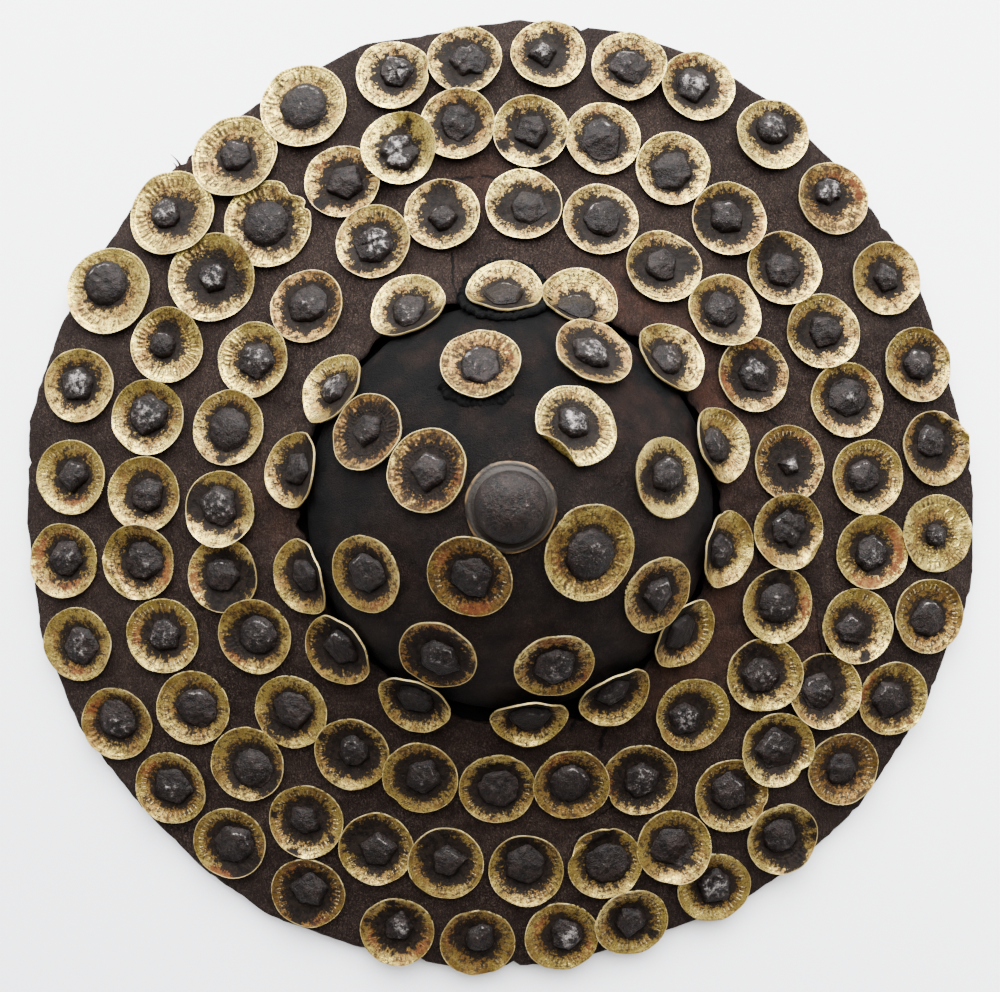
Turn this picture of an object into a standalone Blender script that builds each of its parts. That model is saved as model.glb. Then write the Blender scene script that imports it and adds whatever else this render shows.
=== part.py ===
"""A studded leather buckler, lying on its back with the boss up.

A gently convex leather face, cut by knife to a rough circle, is pierced in the middle for a moulded
leather boss, whose flange lies under the face. Rings of dished brass discs, each held by a forged nail,
cover both. A domed nail on a washer closes the top of the boss, and a hand grip crosses the hollow behind.

Frame: metres, +Z up through the boss, the rim's underside on z = 0, the origin at the middle of the rim.
"""

import math

import bmesh
import bpy
from mathutils import Matrix, Vector

MM = 0.001

# Face: heights of the leather's upper side from its inner cut edge out to the rim, (radius, height), mm
FACE_STATIONS = ((62.0, 30.5), (76.5, 25.0), (101.5, 17.0), (126.5, 11.6), (150.0, 5.0))
FACE_INNER = FACE_STATIONS[0][0] * MM
FACE_OUTER = FACE_STATIONS[-1][0] * MM
FACE_THICK = 5.0 * MM
LANDING = 6.5 * MM
LANDING_LIP = 4.0 * MM
LIP_RISE = 3.2 * MM

# The knife's straight cuts round the rim meet at these corners, (bearing in degrees, radius in mm)
RIM_CORNERS = (
    (0, 150.0), (5, 149.5), (22, 147.5), (30, 149.5), (43, 149.8), (55, 151.5), (65, 152.8), (75, 152.5),
    (88, 151.0), (107, 149.5), (112, 147.5), (122, 146.2), (134, 146.2), (141, 148.2), (147, 147.8),
    (159, 149.5), (171, 151.0), (183, 150.0), (197, 152.0), (209, 152.0), (221, 150.5), (231, 150.8),
    (241, 151.8), (252, 149.8), (265, 150.2), (272, 148.5), (277, 150.0), (299, 149.7), (308, 149.8),
    (319, 150.5), (328, 149.4), (336, 150.3), (341, 149.5), (344, 152.0), (351, 151.7),
)

# Boss: its axis, and the heights of its outer side above the face's inner edge, (radius, height), mm
BOSS_AT = Vector((3.0, -3.0, 0.0)) * MM
BOSS_STATIONS = (
    (0.0, 40.0), (13.0, 38.0), (28.0, 31.4), (42.0, 23.2),
    (51.0, 16.6), (57.0, 10.2), (60.4, 4.2), (61.2, 0.0),
)
BOSS_SEAT = FACE_STATIONS[0][1] * MM
BOSS_THICK = 4.0 * MM
FLANGE_OUTER = 79.0 * MM
CUT_PLAY = 0.2 * MM
GAP = 0.3 * MM

# Discs and nails
DISC_RADIUS = 11.7 * MM
DISC_LARGE = 13.9 * MM
DISC_MIDDLING = 12.3 * MM
DISC_THICK = 1.0 * MM
DISC_DISH = 1.1 * MM
NAIL_RADIUS = 6.8 * MM
FOOT_NAIL_RADIUS = 6.5 * MM
NAIL_HEIGHT = 3.2 * MM
NAIL_EDGE = 1.0 * MM
NAIL_TAPER = 0.94
FUSED_NAIL_EDGE = 0.6 * MM
DISC_SIDES = 9
NAIL_SIDES = 7
FUSED_SIDES = 7
FUSED_DEPTH = 2.0 * MM
CREASE_LENGTH = 9.0 * MM
CREASE_WALL = math.radians(68)
CREASE_OUT = 1.9 * MM
CREASE_RISE = 1.9 * MM
WASHER_RADIUS = 13.0 * MM
WASHER_THICK = 1.3 * MM
KNOB_RADIUS = 10.2 * MM
KNOB_HEIGHT = 7.0 * MM
KNOB_STEPS = 4
CENTRE_SIDES = 18

# Hand grip across the hollow, in line with two of the foot ring's nails
GRIP_BEARING = math.radians(17)
GRIP_STATIONS = (  # distance from the middle, half width, half height, mm
    (0, 11.0, 8.5), (30, 10.5, 8.0), (46, 9.5, 5.5), (56, 9.0, 3.0), (60, 9.0, 2.5), (76, 8.5, 2.5),
)
GRIP_CENTRE = 15.0 * MM
GRIP_BARE = 50.0 * MM
GRIP_SIDES = 8

SEGMENTS = 36
SHARE_ROUNDS = 12
SPIN_RATE = 7  # turns of a stud about its own axis for each turn round its ring, so that no two line up


class Ring:
    """One ring of studs: evenly spaced, then each one slipped a little along and out from its even place."""

    def __init__(self, centre, radius, first, along, out, large=(), middling=()):
        self.centre = Vector((centre[0], centre[1], 0.0)) * MM
        self.radius = radius * MM
        self.first = math.radians(first)
        self.along = along
        self.out = out
        self.large = large
        self.middling = middling

    def places(self):
        """Each stud's bearing about the ring's centre, its point in plan, and its disc's radius."""
        count = len(self.along)
        for i in range(count):
            bearing = self.first + math.tau * i / count + self.along[i] * MM / self.radius
            radius = self.radius + self.out[i] * MM
            point = self.centre + radius * Vector((math.cos(bearing), math.sin(bearing), 0.0))
            size = DISC_LARGE if i in self.large else DISC_MIDDLING if i in self.middling else DISC_RADIUS
            yield bearing, point, size


RIM_RING = Ring(
    (1, 0), 138, 6.7,
    along=(-1, -1, 1, 4, 4, 4, -1, -3, -4, -8, -5, -5, -5, -1, 3, 5,
           4, 3, 3, 2, 0, 2, 5, 3, 2, -3, -2, -3, -1, -1, 0, -1),
    out=(-2, -2, 0, 1, 3, 4, 2, 1, -1, -2, -1, -3, -2, 1, -1, -3,
         1, 3, 2, 0, 0, 0, 2, 2, 1, 1, 1, 0, -2, -1, 0, -2),
    large=(10, 11, 12, 13), middling=(31,),
)
SECOND_RING = Ring(
    (1, -2), 114, 4.5,
    along=(-1, 1, 1, 1, 1, 1, 1, 0, -1, -5, -8, -4, -3, -1, -1, 0,
           -2, -1, 0, 1, 3, 3, 2, 4, 5, 3, 3, 0, 0, -1, -1),
    out=(-1, -3, -2, -1, -2, 2, 3, 1, 4, 0, -3, -1, 0, 1, -1, -3,
         0, -1, 1, -1, 2, 0, -1, 0, 2, 5, 1, 0, 1, 2, 1),
    large=(11, 12),
)
THIRD_RING = Ring(
    (2, -3), 89, 12.4,
    along=(-6, 1, -1, -1, -1, -1, 0, -1, 4, 4, 3, 5, 2, 0, 2, 1, 0, 1, 1, -2, -1, -1, -4, -4),
    out=(-2, -4, 0, -2, 3, 3, 2, 1, -3, 0, -1, -2, 0, -3, 2, 0, -2, -3, -2, 4, -4, 5, -1, -3),
)
FOOT_RING = Ring((3, -3), 62, 16.2, along=(0, 1, 4, -2, -2, 2, 0, 3, -2, -4, 2, 0, -1, -2), out=(0,) * 14)
BOSS_RING = Ring((3, -3), 47, 16.6, along=(-5, 0, -4, 1, 7, 2, -1, -2), out=(-2, 3, -6, -1, -2, 0, 0, 2))
TOP_RING = Ring((3, -3), 26, 59.9, along=(-4, 3, 0, 0), out=(3, -1, -4, -1), large=(3,), middling=(0, 1, 2))


# Surfaces

def through_stations(stations, value):
    """Height at value on a smooth curve through the stations, all in metres."""
    points = [(a * MM, b * MM) for a, b in stations]
    value = min(max(value, points[0][0]), points[-1][0])
    k = max(i for i in range(len(points) - 1) if points[i][0] <= value)

    def slope(i):
        low, high = points[max(i - 1, 0)], points[min(i + 1, len(points) - 1)]
        return (high[1] - low[1]) / (high[0] - low[0])

    (x0, z0), (x1, z1) = points[k], points[k + 1]
    width = x1 - x0
    t = (value - x0) / width
    return (
        (2 * t**3 - 3 * t**2 + 1) * z0 + (t**3 - 2 * t**2 + t) * width * slope(k)
        + (3 * t**2 - 2 * t**3) * z1 + (t**3 - t**2) * width * slope(k + 1)
    )


def rim_radius(bearing):
    """Distance from the origin to the rim's cut edge, which runs straight from corner to corner."""
    degrees = math.degrees(bearing) % 360
    corners = RIM_CORNERS + ((RIM_CORNERS[0][0] + 360, RIM_CORNERS[0][1]),)
    for (a0, r0), (a1, r1) in zip(corners, corners[1:]):
        if a0 <= degrees <= a1:
            t0, t1 = math.radians(degrees - a0), math.radians(a1 - degrees)
            return MM * r0 * r1 * math.sin(t0 + t1) / (r0 * math.sin(t0) + r1 * math.sin(t1))
    raise ValueError(f"no rim corner brackets {degrees}")


def face_point(share, bearing):
    """The point in plan a share of the way from the face's inner edge round the boss (0) to the rim (1)."""
    direction = Vector((math.cos(bearing), math.sin(bearing), 0.0))
    inner = BOSS_AT + FACE_INNER * direction
    return inner.lerp(rim_radius(bearing) * direction, share)


def face_share(point):
    """How far a point in plan lies from the face's inner edge (0) to the rim (1)."""
    share = 0.5
    for _ in range(SHARE_ROUNDS):
        away = point - BOSS_AT * (1 - share)
        bearing = math.atan2(away.y, away.x)
        reach = math.hypot(away.x, away.y)
        share = (reach - FACE_INNER) / (rim_radius(bearing) - FACE_INNER)
    return share


def face_height(point):
    """Height of the leather face's upper side."""
    return through_stations(FACE_STATIONS, FACE_INNER + face_share(point) * (FACE_OUTER - FACE_INNER))


def boss_height(point):
    """Height of the boss's outer side."""
    away = point - BOSS_AT
    return BOSS_SEAT + through_stations(BOSS_STATIONS, math.hypot(away.x, away.y))


def frame_on(height, point, spin=0.0):
    """The matrix that stands a piece on a surface: Z along its normal, turned by spin about that."""
    step = 1.0 * MM
    east, north = Vector((step, 0, 0)), Vector((0, step, 0))
    normal = Vector((
        (height(point - east) - height(point + east)) / (2 * step),
        (height(point - north) - height(point + north)) / (2 * step),
        1.0,
    )).normalized()
    turn = normal.to_track_quat("Z", "Y").to_matrix().to_4x4() @ Matrix.Rotation(spin, 4, "Z")
    return Matrix.Translation((point.x, point.y, height(point))) @ turn


# Building

def clear_scene():
    for obj in list(bpy.data.objects):
        bpy.data.objects.remove(obj, do_unlink=True)


def material(name, colour, metallic, roughness):
    made = bpy.data.materials.new(name)
    made.use_nodes = True
    shader = made.node_tree.nodes["Principled BSDF"]
    shader.inputs["Base Color"].default_value = (*colour, 1.0)
    shader.inputs["Metallic"].default_value = metallic
    shader.inputs["Roughness"].default_value = roughness
    return made


def turned(name, profile, sides, closed=False):
    """A profile of (radius, height) points turned once round Z, as an object with the finished mesh."""
    mesh = bpy.data.meshes.new(name)
    edges = [(i, i + 1) for i in range(len(profile) - 1)]
    if closed:
        edges.append((len(profile) - 1, 0))
    mesh.from_pydata([(r, 0.0, z) for r, z in profile], edges, [])
    obj = bpy.data.objects.new(name, mesh)
    bpy.context.scene.collection.objects.link(obj)
    screw = obj.modifiers.new("Screw", "SCREW")
    screw.axis = "Z"
    screw.angle = math.tau
    screw.steps = screw.render_steps = sides
    screw.use_merge_vertices = True
    screw.merge_threshold = 0.00001
    settle(obj)
    return obj


def settle(obj):
    """Turns an object's modifiers into its mesh."""
    bpy.context.view_layer.update()
    graph = bpy.context.evaluated_depsgraph_get()
    obj.data = bpy.data.meshes.new_from_object(obj.evaluated_get(graph))
    obj.modifiers.clear()


def move_points(obj, rule):
    """Moves every vertex of a mesh by a rule from point to point."""
    for vertex in obj.data.vertices:
        vertex.co = rule(vertex.co.copy())
    obj.data.update()


def finish(obj, collection, surface, smooth_angle=40):
    """Gives an object its material and shading, and puts it in the buckler's collection alone."""
    obj.data.materials.clear()
    obj.data.materials.append(surface)
    obj.data.shade_smooth()
    obj.data.set_sharp_from_angle(angle=math.radians(smooth_angle))
    for other in list(obj.users_collection):
        other.objects.unlink(obj)
    collection.objects.link(obj)
    return obj


def disc_profile(radius):
    """A thin round plate whose middle the nail has driven down, from its top centre to its underside."""
    return [
        (0.0, DISC_THICK), (NAIL_RADIUS, DISC_THICK), (radius, DISC_THICK + DISC_DISH),
        (radius, DISC_DISH), (NAIL_RADIUS, 0.0), (0.0, 0.0),
    ]


def nail_profile(radius):
    """A low hammered head, resting on the disc's middle."""
    base = DISC_THICK + GAP
    foot = NAIL_TAPER * radius
    return [(0.0, base + NAIL_HEIGHT), (radius, base + NAIL_EDGE), (foot, base), (0.0, base)]


def fused_profile(radius):
    """Disc and nail head in one, sunk into the leather that they are joined to."""
    return [
        (0.0, DISC_THICK + NAIL_HEIGHT), (NAIL_RADIUS, DISC_THICK + FUSED_NAIL_EDGE),
        (radius, DISC_THICK + DISC_DISH), (radius, -FUSED_DEPTH), (0.0, -FUSED_DEPTH),
    ]


def leather_face():
    """The face: a turned shell, drawn out to the knife-cut rim and in to the boss, with its outer studs."""
    top = [(radius * MM, height * MM) for radius, height in FACE_STATIONS]
    under = [(radius, height - FACE_THICK) for radius, height in top[-3::-1]]
    inside = FACE_OUTER - LANDING
    landing = [(FACE_OUTER, 0.0), (inside, 0.0), (inside - LANDING_LIP, LIP_RISE)]
    face = turned("face_leather", top + landing + under, SEGMENTS, closed=True)

    def drawn_out(co):
        share = (math.hypot(co.x, co.y) - FACE_INNER) / (FACE_OUTER - FACE_INNER)
        place = face_point(share, math.atan2(co.y, co.x))
        return Vector((place.x, place.y, co.z))

    move_points(face, drawn_out)
    shape = bmesh.new()
    shape.from_mesh(face.data)
    bmesh.ops.triangulate(shape, faces=shape.faces)
    shape.to_mesh(face.data)
    shape.free()
    studs = bpy.data.collections.new("outer_studs")
    bpy.context.scene.collection.children.link(studs)
    for ring in (RIM_RING, SECOND_RING, THIRD_RING):
        for bearing, point, size in ring.places():
            stud = turned("outer_stud", fused_profile(size), FUSED_SIDES)
            stud.matrix_world = frame_on(face_height, point, SPIN_RATE * bearing)
            studs.objects.link(stud)
            bpy.context.scene.collection.objects.unlink(stud)
    union = face.modifiers.new("Outer studs", "BOOLEAN")
    union.operation = "UNION"
    union.solver = "EXACT"
    union.operand_type = "COLLECTION"
    union.collection = studs
    settle(face)
    for stud in list(studs.objects):
        bpy.data.objects.remove(stud, do_unlink=True)
    bpy.data.collections.remove(studs)
    return face


def leather_boss():
    """The boss: a hollow dome with a flange that follows the face's underside."""
    radii = [a * MM for a, _ in BOSS_STATIONS]
    dome = [(r, BOSS_SEAT + through_stations(BOSS_STATIONS, r)) for r in radii]
    foot = dome[-1][0]
    under_face = BOSS_SEAT - FACE_THICK - GAP
    steps = (foot + CUT_PLAY, FLANGE_OUTER)
    flange_top = [(r, under_face) for r in steps]
    flange_under = [(r, under_face - BOSS_THICK) for r in steps[:0:-1]]
    hollow = [(foot - BOSS_THICK, under_face - BOSS_THICK), (foot - BOSS_THICK, BOSS_SEAT)]
    for k in range(len(radii) - 2, -1, -2):
        before, after = dome[max(k - 1, 0)], dome[k + 1]
        slope = math.atan2(before[1] - after[1], after[0] - before[0]) if k else 0.0
        hollow.append((
            max(dome[k][0] - BOSS_THICK * math.sin(slope), 0.0),
            dome[k][1] - BOSS_THICK * math.cos(slope),
        ))
    boss = turned("boss_leather", dome + flange_top + flange_under + hollow, SEGMENTS)

    def seated(co):
        reach = math.hypot(co.x, co.y)
        place = Vector((co.x, co.y, 0.0)) + BOSS_AT
        if reach > FACE_INNER:
            co.z += face_height(place) - BOSS_SEAT
        return Vector((place.x, place.y, co.z))

    move_points(boss, seated)
    return boss


def stud_pair(name, size, nail_size, placed):
    """One disc and its nail head, each its own piece, placed by a matrix."""
    disc = turned(name.format("disc"), disc_profile(size), DISC_SIDES)
    nail = turned(name.format("nail"), nail_profile(nail_size), NAIL_SIDES)
    for piece in (disc, nail):
        piece.matrix_world = placed
    return disc, nail


def boss_studs():
    """The studs on the dome, in two rings."""
    lift = Matrix.Translation((0, 0, GAP))
    for ring, label in ((BOSS_RING, "boss_{}_mid_"), (TOP_RING, "boss_{}_top_")):
        for i, (bearing, point, size) in enumerate(ring.places(), start=1):
            placed = frame_on(boss_height, point, SPIN_RATE * bearing) @ lift
            yield stud_pair(f"{label}{i}", size, NAIL_RADIUS, placed)


def bent_over_crease(co):
    """Bends a flat stud that lies in XY with +X outwards, so that its inner half climbs the boss's wall."""
    (inner_radius, inner_height), (outer_radius, outer_height) = FACE_STATIONS[:2]
    face_slope = math.atan2(inner_height - outer_height, outer_radius - inner_radius)
    turn = CREASE_WALL - face_slope
    bend_radius = CREASE_LENGTH / turn
    inwards = -co.x
    bent = min(max(inwards, -CREASE_LENGTH / 2), CREASE_LENGTH / 2)
    middle = (CREASE_WALL + face_slope) / 2
    angle = middle + bent / bend_radius
    path = Vector((
        -bend_radius * (math.sin(angle) - math.sin(middle)),
        0.0,
        bend_radius * (math.cos(middle) - math.cos(angle)),
    ))
    rest = inwards - bent
    path += rest * Vector((-math.cos(angle), 0.0, math.sin(angle)))
    return path + Vector((0.0, co.y, 0.0)) + co.z * Vector((math.sin(angle), 0.0, math.cos(angle)))


def foot_studs():
    """The studs nailed into the corner between face and boss, each bent over it."""
    for i, (bearing, _, size) in enumerate(FOOT_RING.places(), start=1):
        radius = FACE_INNER + CREASE_OUT
        direction = Vector((math.cos(bearing), math.sin(bearing), 0.0))
        place = BOSS_AT + radius * direction
        placed = Matrix.Translation((place.x, place.y, face_height(place) + CREASE_RISE))
        disc, nail = stud_pair(f"foot_{{}}_{i}", size, FOOT_NAIL_RADIUS, Matrix.Identity(4))
        for piece in (disc, nail):
            move_points(piece, bent_over_crease)
            piece.matrix_world = placed @ Matrix.Rotation(bearing, 4, "Z")
        yield disc, nail


def centre_washer():
    """A round plate that follows the top of the dome."""
    radii = (0.0, WASHER_RADIUS / 2, WASHER_RADIUS)
    under = [(r, BOSS_SEAT + through_stations(BOSS_STATIONS, r) + GAP) for r in radii]
    over = [(r, z + WASHER_THICK) for r, z in under]
    washer = turned("centre_washer", over + under[::-1], CENTRE_SIDES)
    washer.location = BOSS_AT
    return washer


def centre_nail():
    """A smooth domed nail head on the washer."""
    base = BOSS_SEAT + BOSS_STATIONS[0][1] * MM + GAP + WASHER_THICK + GAP
    angles = [math.pi / 2 * k / KNOB_STEPS for k in range(KNOB_STEPS + 1)]
    dome = [(KNOB_RADIUS * math.sin(a), base + KNOB_HEIGHT * math.cos(a)) for a in angles]
    nail = turned("centre_nail", dome + [(0.0, base)], CENTRE_SIDES)
    nail.location = BOSS_AT
    return nail


def grip_centre(x, half_height):
    """Height of the grip's centre line: level across the hollow, and against the flange past GRIP_BARE."""
    if abs(x) < GRIP_BARE:
        return GRIP_CENTRE
    inner = BOSS_STATIONS[-1][0] * MM - BOSS_THICK
    outwards = math.copysign(FLANGE_OUTER, x) * Vector((math.cos(GRIP_BEARING), math.sin(GRIP_BEARING), 0.0))
    fall = BOSS_SEAT - face_height(BOSS_AT + outwards)
    share = max(abs(x) - inner, 0.0) / (FLANGE_OUTER - inner)
    return BOSS_SEAT - FACE_THICK - GAP - BOSS_THICK - share * fall - GAP - half_height


def hand_grip():
    """A bar lofted from flat end pads under the flange to a rounded handle in the middle."""
    half = [[value * MM for value in station] for station in GRIP_STATIONS]
    stations = [[-x, w, h] for x, w, h in half[:0:-1]] + half
    grip = bpy.data.objects.new("hand_grip", bpy.data.meshes.new("hand_grip"))
    shape = bmesh.new()
    sections = []
    for x, half_width, half_height in stations:
        centre = grip_centre(x, half_height)
        ring = []
        for k in range(GRIP_SIDES):
            angle = math.tau * (k + 0.5) / GRIP_SIDES
            y, z = half_width * math.cos(angle), centre + half_height * math.sin(angle)
            ring.append(shape.verts.new((x, y, z)))
        sections.append(ring)
    for ring, after in zip(sections, sections[1:]):
        for k in range(GRIP_SIDES):
            n = (k + 1) % GRIP_SIDES
            shape.faces.new((ring[k], ring[n], after[n], after[k]))
    shape.faces.new(sections[0])
    shape.faces.new(sections[-1])
    bmesh.ops.recalc_face_normals(shape, faces=shape.faces)
    shape.to_mesh(grip.data)
    shape.free()
    grip.location = BOSS_AT
    grip.rotation_euler.z = GRIP_BEARING
    return grip


def build():
    clear_scene()
    buckler = bpy.data.collections.new("buckler")
    bpy.context.scene.collection.children.link(buckler)
    leather = material("leather", (0.035, 0.022, 0.018), 0.0, 0.55)
    brass = material("brass", (0.72, 0.55, 0.24), 1.0, 0.32)
    iron = material("iron", (0.09, 0.085, 0.085), 1.0, 0.5)
    bronze = material("dark_bronze", (0.09, 0.07, 0.055), 1.0, 0.45)
    wood = material("grip_wood", (0.12, 0.07, 0.04), 0.0, 0.6)
    finish(leather_face(), buckler, leather)
    finish(leather_boss(), buckler, leather)
    for disc, nail in (*boss_studs(), *foot_studs()):
        finish(disc, buckler, brass)
        finish(nail, buckler, iron)
    finish(centre_washer(), buckler, bronze)
    finish(centre_nail(), buckler, iron)
    finish(hand_grip(), buckler, wood)


build()
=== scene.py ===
"""Looks for the studded leather buckler: leather, brass discs, forged nails, and the light they stand in.

Lengths are in millimetres until a mesh is made. Angles of a stud's look are in degrees in plan, 0 along +X
and 90 along +Y, and on a foot stud 0 points away from the boss.
"""

import math
import random
from collections import namedtuple

import bpy
import numpy as np
from mathutils import Matrix, Vector


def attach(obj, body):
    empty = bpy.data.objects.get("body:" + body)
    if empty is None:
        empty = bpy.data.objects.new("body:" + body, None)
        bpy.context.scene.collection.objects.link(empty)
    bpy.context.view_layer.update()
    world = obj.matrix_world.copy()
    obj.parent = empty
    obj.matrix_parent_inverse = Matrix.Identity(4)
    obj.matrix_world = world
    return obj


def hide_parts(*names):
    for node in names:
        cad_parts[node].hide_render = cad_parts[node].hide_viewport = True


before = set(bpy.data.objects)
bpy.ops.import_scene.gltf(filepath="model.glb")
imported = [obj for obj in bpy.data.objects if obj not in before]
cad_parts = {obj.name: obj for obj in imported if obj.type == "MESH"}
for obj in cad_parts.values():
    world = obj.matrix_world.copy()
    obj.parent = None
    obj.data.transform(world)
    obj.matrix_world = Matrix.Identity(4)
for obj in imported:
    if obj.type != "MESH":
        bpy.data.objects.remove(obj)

MM = 0.001
BODY = "root"

# ---------------------------------------------------------------- the CAD's own values, repeated

FACE_STATIONS = ((62.0, 30.5), (76.5, 25.0), (101.5, 17.0), (126.5, 11.6), (150.0, 5.0))
FACE_INNER, FACE_OUTER = FACE_STATIONS[0][0], FACE_STATIONS[-1][0]
FACE_THICK = 5.0
LANDING, LANDING_LIP, LIP_RISE = 6.5, 4.0, 3.2  # the flat band under the rim and the step inside it
RIM_CORNERS = (
    (0, 150.0), (5, 149.5), (22, 147.5), (30, 149.5), (43, 149.8), (55, 151.5), (65, 152.8), (75, 152.5),
    (88, 151.0), (107, 149.5), (112, 147.5), (122, 146.2), (134, 146.2), (141, 148.2), (147, 147.8),
    (159, 149.5), (171, 151.0), (183, 150.0), (197, 152.0), (209, 152.0), (221, 150.5), (231, 150.8),
    (241, 151.8), (252, 149.8), (265, 150.2), (272, 148.5), (277, 150.0), (299, 149.7), (308, 149.8),
    (319, 150.5), (328, 149.4), (336, 150.3), (341, 149.5), (344, 152.0), (351, 151.7), (360, 150.0),
)
BOSS_AT = np.array((3.0, -3.0))
BOSS_STATIONS = (
    (0.0, 40.0), (13.0, 38.0), (28.0, 31.4), (42.0, 23.2),
    (51.0, 16.6), (57.0, 10.2), (60.4, 4.2), (61.2, 0.0),
)
BOSS_SEAT = FACE_STATIONS[0][1]
BOSS_FOOT = BOSS_STATIONS[-1][0]
BOSS_THICK = 4.0
FLANGE_OUTER = 79.0
GAP = 0.3
DISC_RADIUS, DISC_MIDDLING, DISC_LARGE = 11.7, 12.3, 13.9
NAIL_HEIGHT = 3.2
CREASE_LENGTH, CREASE_WALL, CREASE_OUT, CREASE_RISE = 9.0, 60, 1.9, 1.9
WASHER_RADIUS, WASHER_THICK = 13.0, 1.3
KNOB_RADIUS, KNOB_HEIGHT = 10.2, 7.0
GRIP_BEARING = math.radians(17)
GRIP_STATIONS = (
    (0, 11.0, 8.5), (30, 10.5, 8.0), (46, 9.5, 5.5), (56, 9.0, 3.0), (60, 9.0, 2.5), (76, 8.5, 2.5),
)
GRIP_CENTRE, GRIP_BARE = 15.0, 50.0


class Ring(namedtuple("Ring", "centre radius first along out large middling", defaults=((), ()))):
    """One ring of studs: evenly spaced, then each one slipped a little along and out from its even place."""

    def places(self):
        """Each stud's bearing about the ring's centre, its point in plan, and its disc's radius."""
        for i, (along, out) in enumerate(zip(self.along, self.out)):
            bearing = math.radians(self.first) + math.tau * i / len(self.along) + along / self.radius
            size = DISC_LARGE if i in self.large else DISC_MIDDLING if i in self.middling else DISC_RADIUS
            yield bearing, np.array(self.centre) + (self.radius + out) * unit(bearing), size


def unit(angle):
    return np.array((math.cos(angle), math.sin(angle)))


RINGS = {
    "rim": Ring(
        (1, 0), 138, 6.7,
        along=(-1, -1, 1, 4, 4, 4, -1, -3, -4, -8, -5, -5, -5, -1, 3, 5,
               4, 3, 3, 2, 0, 2, 5, 3, 2, -3, -2, -3, -1, -1, 0, -1),
        out=(-2, -2, 0, 1, 3, 4, 2, 1, -1, -2, -1, -3, -2, 1, -1, -3,
             1, 3, 2, 0, 0, 0, 2, 2, 1, 1, 1, 0, -2, -1, 0, -2),
        large=(10, 11, 12, 13), middling=(31,),
    ),
    "second": Ring(
        (1, -2), 114, 4.5,
        along=(-1, 1, 1, 1, 1, 1, 1, 0, -1, -5, -8, -4, -3, -1, -1, 0,
               -2, -1, 0, 1, 3, 3, 2, 4, 5, 3, 3, 0, 0, -1, -1),
        out=(-1, -3, -2, -1, -2, 2, 3, 1, 4, 0, -3, -1, 0, 1, -1, -3,
             0, -1, 1, -1, 2, 0, -1, 0, 2, 5, 1, 0, 1, 2, 1),
        large=(11, 12),
    ),
    "third": Ring(
        (2, -3), 89, 12.4,
        along=(-6, 1, -1, -1, -1, -1, 0, -1, 4, 4, 3, 5, 2, 0, 2, 1, 0, 1, 1, -2, -1, -1, -4, -4),
        out=(-2, -4, 0, -2, 3, 3, 2, 1, -3, 0, -1, -2, 0, -3, 2, 0, -2, -3, -2, 4, -4, 5, -1, -3),
    ),
    "foot": Ring((3, -3), 62, 16.2, along=(0, 1, 4, -2, -2, 2, 0, 3, -2, -4, 2, 0, -1, -2), out=(0,) * 14),
    "mid": Ring((3, -3), 47, 16.6, along=(-5, 0, -4, 1, 7, 2, -1, -2), out=(-2, 3, -6, -1, -2, 0, 0, 2)),
    "top": Ring((3, -3), 26, 59.9, along=(-4, 3, 0, 0), out=(3, -1, -4, -1), large=(3,), middling=(0, 1, 2)),
}
ON_FACE, ON_DOME = ("rim", "second", "third"), ("mid", "top")

# ---------------------------------------------------------------- how each stud looks

ANY = None  # left to chance

# What a stud's look says, with its ordinary value
ORDINARY = {
    "nail": ANY,      # radius of the nail's head
    "shine": ANY,     # how much of the head is rubbed bright, 0 to 1
    "stain": ANY,     # how far the dark stain reaches, as a share of the disc's radius
    "patina": ANY,    # how brown the brass is, 0 to 1
    "tone": ANY,      # -1 olive and dark to 1 pale and clean
    "at": ANY,        # the head's place off the disc's middle, (angle, distance)
    "dish": ANY,      # how far the edge stands above the middle
    "kind": "facet",  # facet, round, cross, twin or peak
    "relief": None,   # coin, beads or crescents, which are mesh, or rings or arcs, which the brass draws
    "run": (),        # where the stain runs on further, (angle, extra share)
    "blots": (),      # dark blots, (angle, share of the radius, blot's radius)
    "rust": (),       # rust, (angle, share of the radius, strength)
    "dents": (),      # the outline's dents, (angle, half width in degrees, depth)
    "creases": (),    # ridges across the disc, (angle of the ridge's normal, distance, height)
    "fold": None,     # the part past a chord turned up, (angle, distance of the chord, turn in degrees)
}
Look = namedtuple("Look", ORDINARY, defaults=ORDINARY.values())

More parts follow.
